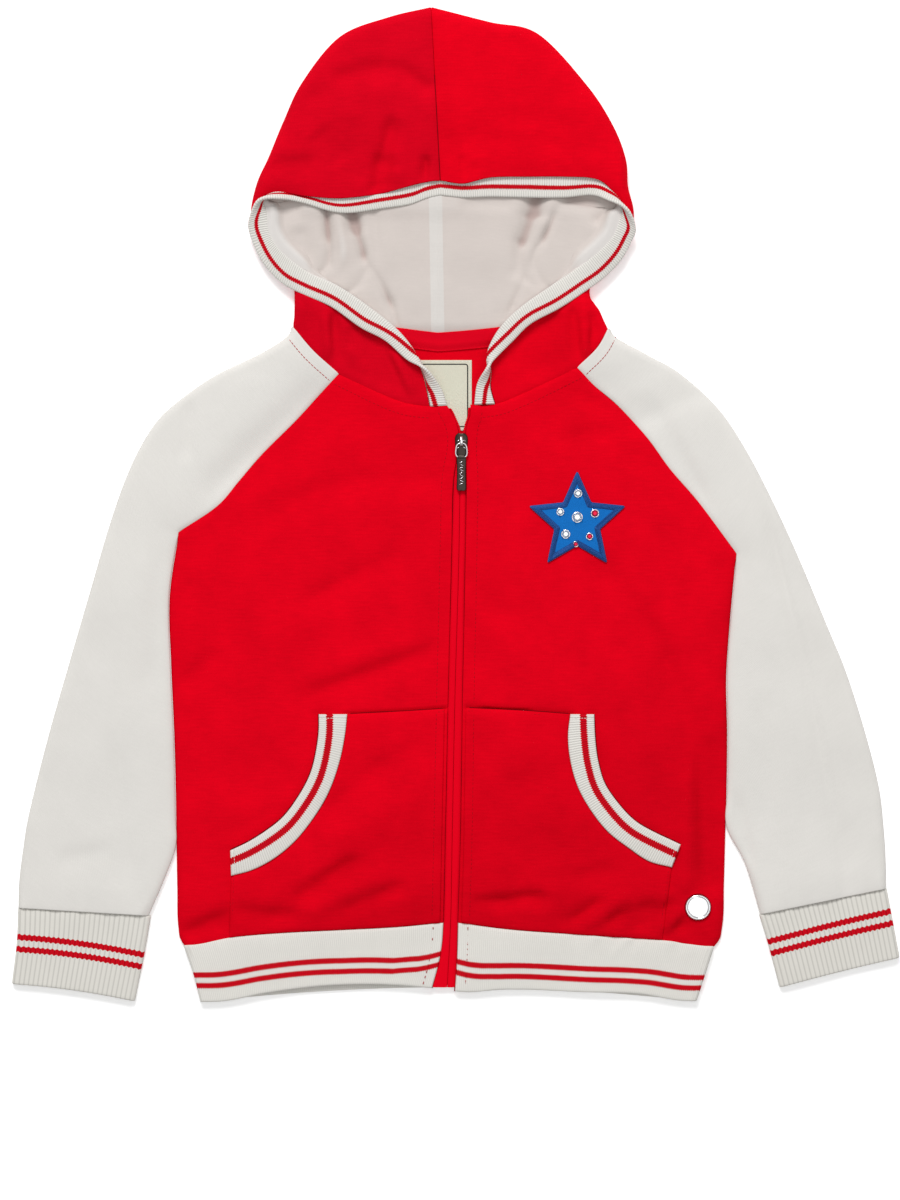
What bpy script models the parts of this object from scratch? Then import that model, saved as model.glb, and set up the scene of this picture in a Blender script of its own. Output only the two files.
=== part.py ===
"""Child's zip-front hooded knit jacket with raglan sleeves, laid flat on its back with the hood spread open.

The frame has +X to the viewer's right, +Y towards the hood and +Z up from the ground, with the origin in the middle
of the laid garment, on the ground. "left" and "right" are the viewer's. Tables are in millimetres.

Each piece of cloth is a thin sheet: a grid of points along its middle, worked out from the piece's own edges, to
which a Solidify modifier gives the wall. The layers lie on each other, and pieces end just short of their seams.
"""
import bpy
import numpy as np
from mathutils import Matrix

MM = 0.001

KNIT = 1.4          # wall of the brushed knit and of the lining
RIB = 2.2           # wall of the doubled rib: cuffs, hem band and trims
TAPE = 0.8          # wall of the zip tapes and the neck tape
SEAM = 0.3          # gap between two pieces at a seam, and between two layers
FLOOR = KNIT / 2    # middle of a layer that lies on the ground
LAY = 4.4           # middle of the upper layer of the body and sleeves
NECK_RISE = 2.2     # how much higher that layer is along the neck seam
NECK_REACH = 20.0   # how far down from the neck seam it rises
FOLD = 5.0          # how far in from a fold the cloth takes to level out
PUFF = 0.9          # how much the middle of a sleeve stands above its edges

# Seam between a front and its sleeve, from the neck to the armpit and on down the body's side until the sleeve
# leaves it, and then the body's side down to the hem: (x, y)
ARMPIT = 6          # row of the table that is the armpit
SIDE_SEAM = {
    "left": [(-76, 85.5), (-87.5, 73), (-103.5, 55.5), (-127, 32), (-141.5, 15), (-155, -0.5), (-180.5, -17.5),
             (-186.5, -60), (-185.5, -105), (-183.5, -150), (-182.3, -200), (-182, -222)],
    "right": [(79, 89.5), (90, 78), (105.5, 65), (125, 43.5), (139.5, 23.5), (158, 2), (183, -31.5),
              (178.7, -77), (176.5, -110), (177, -150), (176.7, -185), (176, -209)],
}
BODY_SIDE = {"left": [(-181.5, -250), (-180.5, -283)], "right": [(175, -247), (169.5, -285)]}

# Sleeves: the outer fold opposite each row of that seam, then the rows of the sleeve below it: outer fold, inner fold
SLEEVE_FOLD = {
    "left": [(-108, 114), (-127, 98), (-155, 84.5), (-178, 69), (-195, 53), (-210, 27), (-223.5, -9),
             (-238.5, -60), (-252.5, -108), (-265, -152), (-277, -200), (-281, -224)],
    "right": [(102, 111.5), (125, 97), (146, 85), (170, 63), (188, 36.5), (206, 2), (223, -35),
              (240.5, -77), (254, -110), (266.5, -150), (275, -184), (278, -210)],
}
SLEEVE_END = {
    "left": [((-283.5, -245), (-190, -245)), ((-284, -262), (-199.5, -267))],
    "right": [((279.3, -231), (188, -233)), ((279.5, -249.5), (198, -266))],
}

# Neck seam, from the shoulder fold to the zip; its third point is the front end of the raglan seam
NECK = {
    "left": [(-105, 115.5), (-93, 101), (-76, 85.5), (-62, 78.5), (-48.5, 72), (-32.5, 66), (-16.5, 64), (-5.5, 64.5)],
    "right": [(98.5, 114.5), (93, 104), (79, 89.5), (58, 79), (42, 71.5), (25.5, 65.5), (17, 64.5), (9.5, 65)],
}
BACK_NECK_MIDDLE = (-11.5, 106)   # lowest point of the back neck seam, which runs straight from there to each fold
BACK_RAGLAN_NECK = {"left": 0.67, "right": 0.78}   # back end of the raglan seam, as a share of that line
ZIP_EDGE = {
    "left": [(-8, -271.5), (-7, -224.5), (-5, -127), (-2.5, -23), (-1.5, 16), (2, 46), (1, 51.5), (-3, 60.5), (-5.5, 64.5)],
    "right": [(1.5, -271.5), (3, -224.5), (4.5, -127), (6.5, -23), (7, 16), (6.5, 46), (7.5, 52.5), (9.5, 58.5), (9.5, 65)],
}
HEM_SEAM = {
    "left": [(-180.5, -283), (-167.5, -285), (-146.5, -281), (-121.5, -279), (-74.5, -276.5), (-16.5, -273), (-8, -271.5)],
    "right": [(169.5, -285), (144.5, -285), (120, -282.5), (81, -279.5), (29, -275.5), (8, -272), (1.5, -271.5)],
}
ZIP_GAP = [(-5.5, -314), (-3, -272), (-2, -224.5), (0, -127), (3, -23), (3, 9), (4, 46)]

# Cuffs, from the seam down: outer edge (x, y), inner edge (x, y)
CUFF = {
    "left": [((-284, -262.2), (-199.5, -267.2)), ((-284.5, -281.5), (-202.5, -285)), ((-288, -312), (-210, -323))],
    "right": [((279.5, -249.7), (198.5, -266.3)), ((283.5, -271), (204, -284)), ((288, -295), (212, -314))],
}
CUFF_BOW = {"left": 1.5, "right": 0.5}        # how far the middle of a cuff's end bows from a straight line
CUFF_SEAM_BOW = {"left": 0.0, "right": 0.0}   # and of its seam
CUFF_LAY = RIB * 1.5 + 1.2                    # middle of a cuff's upper layer

# Hem band: the fold at each side from the seam down, the lower edge, and the edge beside the zip from the seam down
HEM_FOLD = {"left": [(-178.5, -286.5), (-171, -306), (-166, -323.5)], "right": [(168, -288.5), (162.5, -305), (157, -323)]}
HEM_LOWER = {
    "left": [(-166, -323.5), (-150, -323), (-121.5, -317.5), (-86.5, -312.5), (-63, -311.5), (-20, -312.5), (-15.5, -314.5)],
    "right": [(157, -323), (143, -322.5), (120, -318.5), (81, -317), (29, -315.5), (5.5, -317), (-0.5, -316.5)],
}
HEM_ZIP = {"left": [(-8, -272), (-9, -286.5), (-11, -298), (-15.5, -314.5)], "right": [(1.5, -272), (1, -292.5), (-0.5, -316.5)]}
HEM_LAY = 4.9
HEM_BACK_BOW = 7.0    # how far the middle of the band's back bows up

# Hood, a row for each station from the neck round the opening to its front centre:
#   seam (x, y) on the ground, fold (x, y), sewn edge (x, y), free edge of the trim (x, y), height of the sewn edge,
#   height of the free edge, and how far the trim is rolled outwards (0 it hangs inwards, 1 it lies on the outside)
HOOD = {
    "left": [
        ((-11.5, 106), (-105, 115.5), (-16.5, 64), (-5.5, 64.5), 6.6, 6.6, 0.0, 1),
        ((-11.5, 111), (-105, 118), (-18.5, 75), (-9.5, 76), 7.2, 9.0, 0.1, 1),
        ((-11.5, 117), (-104.5, 121.5), (-20.5, 86), (-19, 88), 9.0, 15.5, 0.5, 1),
        ((-11.4, 123), (-104.3, 125), (-26, 98.5), (-31, 93.5), 10.0, 12.0, 0.9, 1),
        ((-11.3, 130), (-104.2, 129), (-37, 112.5), (-46, 106.5), 10.2, 10.4, 1.0, 1),
        ((-11.2, 138), (-104.2, 133), (-54.5, 127), (-62, 115), 10.2, 10.0, 1.0, 0.75),
        ((-11, 146), (-104.3, 138), (-75, 141), (-81, 128.5), 10.0, 9.8, 1.0, 0.5),
        ((-11, 155), (-105, 144), (-94.5, 150.5), (-100, 137), 9.5, 9.4, 1.0, 0.35),
        ((-11, 166), (-111, 153), (-107.5, 160), (-114, 145), 9.5, 7.6, 1.0, 0),
        ((-11, 178), (-120.5, 165), (-116, 168.5), (-126, 158.5), 9.8, 7.6, 1.0, 0),
        ((-11, 190), (-127, 178), (-121, 178.5), (-134, 176.5), 10.0, 8.2, 1.0, 0),
        ((-11, 203), (-132, 187.5), (-122.5, 189), (-134, 186.5), 10.5, 11.5, 0.9, 0),
        ((-11.2, 216), (-132, 196), (-124.5, 198), (-127.5, 197), 11.0, 19.0, 0.5, 0.5),
        ((-11.5, 229), (-128, 211), (-115, 202.5), (-114, 198), 12.0, 17.0, 0.2, 1),
        ((-12, 243), (-121, 226), (-98, 200), (-100, 196), 12.0, 11.0, 0.05, 1),
        ((-12.5, 256), (-111.5, 249), (-75, 198.5), (-74.5, 189.5), 12.0, 9.4, 0.0, 1),
        ((-13, 269), (-99, 275), (-49, 201.5), (-46.5, 192.5), 12.0, 9.4, 0.0, 1),
        ((-14, 281), (-75, 304), (-29.5, 206.5), (-30, 195), 11.8, 9.3, 0.0, 1),
        ((-14.5, 289), (-44, 316.5), (-19, 209), (-19, 199), 11.6, 9.2, 0.0, 1),
        ((-14.8, 296), (-16, 323.2), (-10, 210), (-10, 201), 11.5, 9.2, 0.0, 1),
    ],
    "right": [
        ((-11.5, 106), (98.5, 114.5), (25.5, 65.5), (12, 65), 6.6, 6.6, 0.0, 1),
        ((-11.5, 111), (97, 117.5), (22.5, 76), (14, 79), 7.2, 9.0, 0.1, 1),
        ((-11.5, 117), (95.5, 120.5), (22, 86.5), (20, 88.5), 9.0, 15.5, 0.5, 1),
        ((-11.4, 123), (94, 124), (20.5, 99), (27, 96), 10.0, 12.0, 0.9, 1),
        ((-11.3, 130), (92.5, 127), (29, 115), (37.5, 106.5), 10.2, 10.4, 1.0, 1),
        ((-11.2, 138), (89.5, 131), (43.5, 129), (49, 117.5), 10.2, 10.0, 1.0, 0.75),
        ((-11, 146), (87, 135), (60.5, 141), (67.5, 127.5), 10.0, 9.8, 1.0, 0.5),
        ((-11, 155), (87, 142), (75.5, 151.5), (84, 138.5), 9.5, 9.4, 1.0, 0.35),
        ((-11, 166), (92, 151), (87.5, 160.5), (97, 148), 9.5, 7.6, 1.0, 0),
        ((-11, 178), (102, 162), (96.5, 168.5), (107.5, 159), 9.8, 7.6, 1.0, 0),
        ((-11, 190), (109, 172), (102.5, 176), (114, 170.5), 10.0, 8.2, 1.0, 0),
        ((-11, 203), (114.5, 183), (106, 185), (117, 179.5), 10.5, 11.5, 0.9, 0),
        ((-11.2, 216), (115, 193), (108, 193.5), (111, 191), 11.0, 19.0, 0.5, 0.5),
        ((-11.5, 229), (111.5, 207), (101.5, 203), (99, 197), 12.0, 15.0, 0.2, 1),
        ((-12, 243), (110, 225), (91, 211), (88, 201), 12.0, 10.0, 0.0, 1),
        ((-12.5, 256), (101.5, 247), (71, 212.5), (70, 199.5), 12.0, 9.4, 0.0, 1),
        ((-13, 269), (87, 270), (47, 212.5), (47, 199.5), 12.0, 9.4, 0.0, 1),
        ((-14, 281), (61, 299), (23, 212), (23, 200), 11.8, 9.3, 0.0, 1),
        ((-14.5, 289), (22, 313.5), (5, 208), (6, 199.5), 11.6, 9.2, 0.0, 1),
        ((-14.8, 296), (-16, 323.2), (-10, 210), (-10, 201), 11.5, 9.2, 0.0, 1),
    ],
}
CENTRE_SHIFT = 0.3    # how far each half stays from the hood's centre seam
HOOD_MIDDLE = (-10.0, 165.0)   # middle of the hood's opening
CROWN_FOLD = 11.0     # how far in from the fold the crown takes to level out
LINING_INSET = 3.0    # how far inside the outer's fold the lining folds
LINING_FLOOR = FLOOR + KNIT + SEAM
ROLLED_DROP = KNIT / 2 + RIB / 2 + SEAM + 0.4   # how far the outer's edge lies below the trim rolled over it

# Pockets: upper edge, edge beside the zip, lower edge, side seam, and the trim's outer edge, all (x, y)
POCKET_TOP = {"left": [(-70, -136), (-31, -134), (-7, -132.5)], "right": [(74.5, -136), (40, -133.5), (7.5, -132)]}
POCKET_ZIP_INSET = 3.0
POCKET_SEAM_END = {"left": (-147.5, -279), "right": (134.5, -281)}   # where its side seam meets the hem
POCKET_ZIP_LOW = -270.5
TRIM_INNER = {
    "left": [(-70.5, -136), (-72, -149.5), (-76, -168.5), (-82.5, -186.5), (-93.5, -205), (-105, -219), (-120, -231),
             (-133, -237.5), (-146, -241)],
    "right": [(74.5, -136), (73, -149.5), (74.5, -166), (79.5, -183.5), (88.5, -199.5), (99, -212.5), (112.5, -223),
              (125.5, -231.5), (140.5, -235.5)],
}
TRIM_OUTER = {
    "left": [(-89, -136), (-89, -146), (-90.5, -158.5), (-94.5, -174.5), (-103, -190.5), (-113, -203.5), (-124.5, -212.5),
             (-135, -219), (-146.5, -224.5)],
    "right": [(90, -136), (90.5, -149.5), (92.5, -166), (97, -181), (105, -193), (117, -205.5), (131, -213.5),
              (138.5, -217), (146, -220.5)],
}

SLIDER_TOP = (3.7, 46.5)      # upper end of the slider, (x, y)
SLIDER_SIZE = (8.5, 15.0)     # its width and length
SLIDER_PLATE = (LAY + KNIT / 2 + SEAM + 0.9, LAY + KNIT / 2 + SEAM + 2.0)
PULL_HINGE = (40.0, SLIDER_PLATE[1] + 1.35)   # y and z of the hinge's axis, which runs along X
PULL_BAR = 0.6                # radius of the loop's bar, on that axis
BRIDGE_NEAR, BRIDGE_FAR = 0.9, 3.6            # from the hinge's axis to the bridge's two legs
PULL_WIDTH, PULL_LENGTH = 6.2, 30.8
LOOP_WIDTH, LOOP_LENGTH = 8.4, 9.0
PULL_DROOP = np.radians(3.0)
TAPE_MID = LAY - KNIT / 2 - SEAM - TAPE / 2
TAPE_UNDER = 5.0              # how far a zip tape reaches under its front
TAPE_ENDS = (-48, 42)         # ends of the neck tape
TAPE_BELOW, TAPE_ABOVE = 6.0, 6.0             # how far the neck tape reaches below and above the neck seam
LABEL = ((-26.5, 48.5), (10.5, 94.5))         # two corners of the label
LABEL_WALL = 0.5
FELT = 1.4                    # thickness of the star patch
BADGE = (157.5, -261.5)       # middle of the metal disc
BADGE_RADIUS = 8.2
STAR = (79.0, -11.0)          # middle of the star patch
STAR_RADIUS = 33.0
STAR_WAIST = 0.47             # inner corners of the star, in its radius
STONES = [                    # x and y from the star's middle, radius
    (0.0, 3.0, 3.2), (-11.0, 6.5, 2.2), (11.5, 5.5, 2.4), (0.5, 18.5, 2.4), (-7.5, -8.0, 2.6), (8.0, -9.5, 2.0),
    (-1.0, -14.5, 1.6),
]

RED = (0.69, 0.004, 0.012, 1)
WHITE = (0.74, 0.73, 0.69, 1)
CREAM = (0.68, 0.68, 0.56, 1)
BLUE = (0.01, 0.15, 0.5, 1)
GUNMETAL = (0.10, 0.10, 0.11, 1)
STEEL = (0.62, 0.62, 0.64, 1)
CLEAR = (0.75, 0.8, 0.85, 1)


# ---------------------------------------------------------------- curves and surfaces

def smooth(points, where):
    """Cubic curve through the points, read at the fractions `where` of its chord length."""
    p = np.asarray(points, float)
    where = np.atleast_1d(np.asarray(where, float))
    t = np.append(0, np.cumsum(np.linalg.norm(np.diff(p, axis=0), axis=1)))
    t /= t[-1]
    slope = np.gradient(p, t, axis=0)
    k = np.clip(np.searchsorted(t, where, side="right") - 1, 0, len(t) - 2)
    h = (t[k + 1] - t[k])[:, None]
    u = (where - t[k])[:, None] / h
    return ((2 * u**3 - 3 * u**2 + 1) * p[k] + (u**3 - 2 * u**2 + u) * h * slope[k]
            + (3 * u**2 - 2 * u**3) * p[k + 1] + (u**3 - u**2) * h * slope[k + 1])


def blended(lower, upper, near, far, u, v):
    """Plan of a four-sided piece from its edges (a Coons patch): lower and upper along u, near and far along v."""
    a, b = u[None, :, None], v[:, None, None]
    corners = (1 - b) * ((1 - a) * near[:1] + a * far[:1]) + b * ((1 - a) * near[-1:] + a * far[-1:])
    lower = lower + (1 - u)[:, None] * (near[0] - lower[0]) + u[:, None] * (far[0] - lower[-1])
    upper = upper + (1 - u)[:, None] * (near[-1] - upper[0]) + u[:, None] * (far[-1] - upper[-1])
    return (1 - b) * lower + b * upper + (1 - a) * near[:, None] + a * far[:, None] - corners


def rounding(distance, reach):
    """How far cloth has turned up out of a fold: the height of a quarter ellipse, 0 at the fold, 1 past `reach`."""
    return np.sqrt(1 - (1 - np.clip(distance / reach, 0, 1)) ** 2)


def ease(t):
    t = np.clip(t, 0, 1)
    return t * t * (3 - 2 * t)


def lay(x, y):
    """Height of the middle of the upper layer, which rises towards the neck seam."""
    seam = np.array(NECK["left"] + NECK["right"][::-1])
    below = np.interp(x, seam[:, 0], seam[:, 1]) - y
    return LAY + NECK_RISE * np.exp(-(np.maximum(below, 0) / NECK_REACH) ** 2)


def across(line, towards):
    """Unit normals, in plan, of a line of points, on the side that `towards` lies."""
    way = np.gradient(np.asarray(line, float), axis=0)
    normal = np.column_stack([-way[:, 1], way[:, 0]]) / np.linalg.norm(way, axis=1)[:, None]
    return normal * np.sign(np.sum(normal * (np.asarray(towards) - line), axis=1))[:, None]


def spaced(line, count, bend=3.0):
    """A row of points read again at `count` places, closer together where the row bends."""
    step = np.diff(line, axis=0)
    length = np.linalg.norm(step, axis=1)
    way = step / np.maximum(length, 1e-9)[:, None]
    turn = np.append(0, np.arccos(np.clip(np.sum(way[1:] * way[:-1], axis=1), -1, 1)))
    measure = np.append(0, np.cumsum(length + bend * turn))
    place = np.linspace(0, measure[-1], count)
    return np.stack([np.interp(place, measure, line[:, i]) for i in range(3)], axis=1)


# ---------------------------------------------------------------- making objects

def finish(name, colour, rough, metal=0.0):
    if name in bpy.data.materials:
        return bpy.data.materials[name]
    material = bpy.data.materials.new(name)
    material.use_nodes = True
    shader = material.node_tree.nodes["Principled BSDF"]
    shader.inputs["Base Color"].default_value = colour
    shader.inputs["Roughness"].default_value = rough
    shader.inputs["Metallic"].default_value = metal
    return material


def add(name, mesh, material):
    mesh.materials.append(material)
    thing = bpy.data.objects.new(name, mesh)
    bpy.context.collection.objects.link(thing)
    return thing


def sheet(name, grid, wall, material, closed=False):
    """A sheet of cloth along a grid of points (rows, columns, 3); `closed` joins its last column to its first."""
    rows, cols = grid.shape[:2]
    spans = cols if closed else cols - 1
    r, c = np.meshgrid(np.arange(rows - 1), np.arange(spans), indexing="ij")
    a = (r * cols + c).ravel()
    b = (r * cols + (c + 1) % cols).ravel()
    faces = np.stack([a, b, b + cols, a + cols], axis=1)
    mesh = bpy.data.meshes.new(name)
    mesh.from_pydata((grid.reshape(-1, 3) * MM).tolist(), [], faces.tolist())
    mesh.shade_smooth()
    thing = add(name, mesh, material)
    solid = thing.modifiers.new("wall", "SOLIDIFY")
    solid.thickness = wall * MM
    solid.offset = 0.0
    return thing


def plate(name, outline, low, high, material):
    """A flat piece: an outline (n, 2) raised from one height to another; `low` and `high` may vary point by point."""
    n = len(outline)
    mesh = bpy.data.meshes.new(name)
    low = np.broadcast_to(low, n)
    high = np.broadcast_to(high, n)
    points = np.vstack([np.column_stack([outline, low]), np.column_stack([outline, high])]) * MM
    ring = np.arange(n)
    after = (ring + 1) % n
    walls = np.stack([ring, after, after + n, ring + n], axis=1).tolist()
    mesh.from_pydata(points.tolist(), [], [ring[::-1].tolist(), (ring + n).tolist()] + walls)
    return add(name, mesh, material)


# ---------------------------------------------------------------- body

FRONT_U = np.concatenate([[0, 0.0025, 0.009, 0.024], np.linspace(0.07, 1, 8)])
SEAM_SHIFT = 0.45     # how far each of two pieces stays from the seam between them, in plan


def outer_edge(side):
    """A front's outer edge from the hem up: the body's side, then the raglan seam; and which points are side."""
    edge = np.array(BODY_SIDE[side][::-1] + SIDE_SEAM[side][::-1], float)
    return edge, np.arange(len(edge)) < len(edge) - ARMPIT


def front(side, material):
    """Front panel: its plan from its four edges; its height levels out from the side fold and rises to the neck."""
    way = 1 if side == "left" else -1
    outer, folded = outer_edge(side)
    v = (outer[:, 1] - outer[0, 1]) / (outer[-1, 1] - outer[0, 1])
    outer = outer + (way, 0) * np.where(folded, KNIT / 2, SEAM_SHIFT)[:, None]
    neck = smooth(NECK[side][2:], FRONT_U) - (0, SEAM_SHIFT)
    hem_line = smooth(HEM_SEAM[side], FRONT_U) + (0, SEAM_SHIFT)
    outer[0, 1] += SEAM_SHIFT
    outer[-1] -= (0, SEAM_SHIFT)
    plan = blended(hem_line, neck, outer, smooth(ZIP_EDGE[side], v), FRONT_U, v)
    from_fold = np.abs(plan[..., 0] - outer[:, None, 0])
    level = lay(plan[..., 0], plan[..., 1])
    low = FLOOR + 0.6
    height = level - (level - low) * folded[:, None] * (1 - rounding(from_fold, FOLD))
    sheet(f"front_{side}", np.dstack([plan, height]), KNIT, material)


def back_raglan(side):
    """Back raglan seam, from the neck to the armpit, at the front seam's rows."""
    fold, middle = np.array(NECK[side][0]), np.array(BACK_NECK_MIDDLE)
    start = middle + BACK_RAGLAN_NECK[side] * (fold - middle)
    seam = np.array(SIDE_SEAM[side][: ARMPIT + 1], float)
    share = np.linspace(1, 0, ARMPIT + 1)[:, None] ** 2
    return seam + share * (start - seam[0])


def back(material):
    """Back panel: flat on the ground, a little inside the fronts' folded sides."""
    inset = KNIT + 2 * SEAM
    halves = {}
    for side, way in (("left", 1), ("right", -1)):
        edge, folded = outer_edge(side)
        flat = edge[folded][:-1] + (way * inset, 0)
        raglan = back_raglan(side)[::-1] + (way * SEAM_SHIFT, -SEAM_SHIFT)
        raglan[0, 0] += way * 1.4
        halves[side] = np.vstack([flat, raglan])
    middle = np.array(BACK_NECK_MIDDLE) - (0, SEAM_SHIFT)
    first, last = np.array(HEM_FOLD["left"][0]), np.array(HEM_FOLD["right"][0])
    share = np.linspace(0, 1, 10)[1:-1, None]
    hem_line = first + share * (last - first) + HEM_BACK_BOW * 4 * share * (1 - share) * (0, 1) + (0, 1.2)
    outline = np.vstack([hem_line, halves["right"], middle, halves["left"][::-1]])
    plate("back_panel", outline, 0.0, KNIT, material)


# ---------------------------------------------------------------- sleeves and cuffs

def tube_row(outer, inner, under, top_mid, folded):
    """One row round a flattened tube: from its lower inner end, out to the outer fold and back along the top."""
    width = np.hypot(*(inner - outer))
    near = FOLD * (1 - np.cos(np.linspace(0, np.pi / 2, 6)))
    far = width - near[::-1]
    distance = np.unique(np.concatenate([near, np.linspace(FOLD, width - FOLD, 12), far]))
    rise = rounding(distance, FOLD)
    rise = rise * (1 - folded * (1 - rounding(width - distance, FOLD)))
    middle = (top_mid + FLOOR) / 2
    share = (distance / width)[:, None]
    puffed = top_mid + PUFF * np.sin(np.pi * share[:, 0])
    top = np.column_stack([outer + share * (inner - outer), middle + (puffed - middle) * rise])
    low = np.column_stack([outer + share * (under - outer), middle - (middle - FLOOR) * rise])
    return np.vstack([low[:0:-1], top])


def sleeve(side, material):
    """Raglan sleeve, one piece wrapped from the back seam over the top fold to the front seam."""
    way = 1 if side == "left" else -1
    outers = np.array(SLEEVE_FOLD[side] + [row[0] for row in SLEEVE_END[side]], float)
    inners = np.array(SIDE_SEAM[side] + [row[1] for row in SLEEVE_END[side]], float)
    unders = inners.copy()
    unders[: ARMPIT + 1] = back_raglan(side)
    rows = []
    for k, (outer, inner, under) in enumerate(zip(outers, inners, unders)):
        folded = float(k >= ARMPIT)
        off = (way * (KNIT / 2 + 0.5), 0) if folded else (way * SEAM_SHIFT, -SEAM_SHIFT)
        row = tube_row(outer, inner - off, under - off, lay(*inner), folded)
        if folded:
            row[[0, -1], 2] += (-0.3, 0.3)
        rows.append(spaced(row, 15, 4.0))
    grid = np.array(rows)
    grid[0, :, 1] -= 2 * SEAM_SHIFT
    grid[-1, :, 1] += SEAM_SHIFT
    if side == "left":
        grid = grid[:, ::-1]
    sheet(f"sleeve_{side}", grid, KNIT, material)


def ring_row(first, last, bow, top_mid, low_mid, reach):
    """One closed row round a flattened tube between two folds, bowed along its length by `bow`."""
    turn = np.linspace(0, np.pi / 2, 4)
    width = np.hypot(*(last - first))
    near = reach * (1 - np.cos(turn)) / width
    share = np.concatenate([near, np.linspace(near[-1], 1 - near[-1], 6)[1:-1], (1 - near)[::-1]])
    rise = rounding(share * width, reach) * rounding((1 - share) * width, reach)
    plan = first + share[:, None] * (last - first) + np.outer(4 * share * (1 - share) * bow, (0, 1))
    middle = (top_mid + low_mid) / 2
    top = np.column_stack([plan, middle + (top_mid - middle) * rise])
    low = np.column_stack([plan, middle - (middle - low_mid) * rise])
    return np.vstack([top, low[-2:0:-1]])


def cuff(side, material):
    """Doubled rib cuff: a flattened tube, open at both ends."""
    rows = []
    for place, (outer, inner) in zip((0, 0.45, 1), CUFF[side]):
        bow = (1 - place) * CUFF_SEAM_BOW[side] + place * CUFF_BOW[side]
        rows.append(ring_row(np.array(outer, float), np.array(inner, float), bow, CUFF_LAY, RIB / 2, 4.0))
    grid = np.array(rows)
    if side == "left":
        grid = grid[:, ::-1]
    sheet(f"cuff_{side}", grid, RIB, material, closed=True)


def side_turn(column, way, level, low):
    """Half ellipse round a side fold, from the top layer's first column down to the lower layer."""
    turn = np.linspace(0, np.pi, 7)
    middle = (level + low) / 2
    x = column[:, None, 0] + way * FOLD * 0.6 * (1 - np.sin(turn))
    y = np.broadcast_to(column[:, None, 1], x.shape)
    z = np.broadcast_to(middle + (level - middle) * np.cos(turn), x.shape)
    return np.dstack([x, y, z])


def hem(material):
    """Hem band: one strip of doubled rib from the zip round the back to the zip."""
    v = np.linspace(0, 1, 3)
    u = np.linspace(0, 1, 8)
    tops = {}
    for side in ("left", "right"):
        plan = blended(smooth(HEM_SEAM[side], u), smooth(HEM_LOWER[side], u), smooth(HEM_FOLD[side], v),
                       smooth(HEM_ZIP[side], v), u, v)
        tops[side] = np.dstack([plan, np.full(plan.shape[:2], HEM_LAY)])
    left = side_turn(tops["left"][:, 0] + (RIB / 2, 0, 0), 1, HEM_LAY, RIB / 2)
    right = side_turn(tops["right"][:, 0] - (RIB / 2, 0, 0), -1, HEM_LAY, RIB / 2)
    span = np.linspace(0, 1, 10)[1:-1]
    under = left[:, -1:] + span[None, :, None] * (right[:, -1] - left[:, -1])[:, None]
    under[..., 1] += HEM_BACK_BOW * 4 * span * (1 - span)
    grid = np.concatenate([tops["left"][:, :0:-1], left, under, right[:, ::-1], tops["right"][:, 1:]], axis=1)
    grid[0, :, 1] -= SEAM_SHIFT
    sheet("hem_band", grid, RIB, material)


# ---------------------------------------------------------------- hood

def hood_row(side, number, lining):
    """One row of a hood sheet, from the centre seam along the ground, round the fold and back over the top.

    The lining runs inside the outer. Where the trim is rolled outwards, the outer ends beneath it and the lining
    comes up round the outer's edge to meet it.
    """
    seam, fold, edge, free, height, free_height, roll, lined = HOOD[side][number]
    seam, fold, edge, free = (np.array(p, float) for p in (seam, fold, edge, free))
    away = np.array([-CENTRE_SHIFT if side == "left" else CENTRE_SHIFT, 0])
    seam += away
    if number == len(HOOD[side]) - 1:
        fold, edge = fold + away, edge + away
    depth = np.hypot(*(edge - fold))
    inward = (edge - fold) / depth
    inside = across([row[2] for row in HOOD[side]], HOOD_MIDDLE)[number]
    drop = abs(free_height - height)
    standing = RIB / 2 * drop / np.hypot(drop, np.hypot(*(free - edge)))
    low, high = FLOOR, height - ROLLED_DROP * roll
    stop = edge - (0.7 + standing + 0.8 * roll) * inside
    if lining:
        low, high = LINING_FLOOR, high - KNIT - 2 * SEAM - 0.2
        fold = edge + 1.8 * (1 - lined) * inside - lined * (depth - LINING_INSET) * inward
        stop = edge - (0.5 + standing) * (1 - roll) * inside
    crown = ease((number - 11) / 3)
    span = np.hypot(*(stop - fold))
    reach = min(FOLD + (CROWN_FOLD - FOLD) * crown, 0.85 * span + 0.6)
    middle = (low + high) / 2
    turn = np.radians((90, 60, 30, 0))
    ground_span = np.hypot(*(seam - fold))
    share = np.append(1, reach * (1 - np.cos(turn)) / ground_span)
    ground = np.column_stack([fold + share[:, None] * (seam - fold), middle - (middle - low) * np.append(1, np.sin(turn))])
    bent = min(reach / span, 0.9)
    back = min(3 / span, 0.3) if lining else 0
    rows = []
    for last, tail in ((1, []), (1 - back, [1 - back / 2, 1])):
        share = np.concatenate([bent * (1 - np.cos(turn[2::-1])), np.linspace(bent, last, 5)[1:], tail])
        plan = fold + share[:, None] * (stop - fold) + neck_bulge(side, share, number)
        rise = np.append(np.sin(turn[2::-1]), np.ones(len(share) - 3))
        rows.append(np.vstack([ground, np.column_stack([plan, middle + (high - middle) * rise])]))
    if not lining:
        return rows[0]
    lip = [[*(edge + 2.6 * inside), high + 0.5 * roll * (height - high)],
           [*(edge + 1.6 * inside), high + roll * (height - high)]]
    return (1 - roll) * rows[1] + roll * np.vstack([rows[0], lip])


def neck_bulge(side, share, number):
    """How far a row's upper part leaves a straight line: it follows the neck seam at first and straightens above it."""
    sewn = abs(HOOD[side][0][2][0])
    line = smooth([p for p in NECK[side] if abs(p[0]) >= sewn], share)
    straight = line[0] + share[:, None] * (line[-1] - line[0])
    return (line - straight) * ease(1 - number / 4.5)


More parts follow.
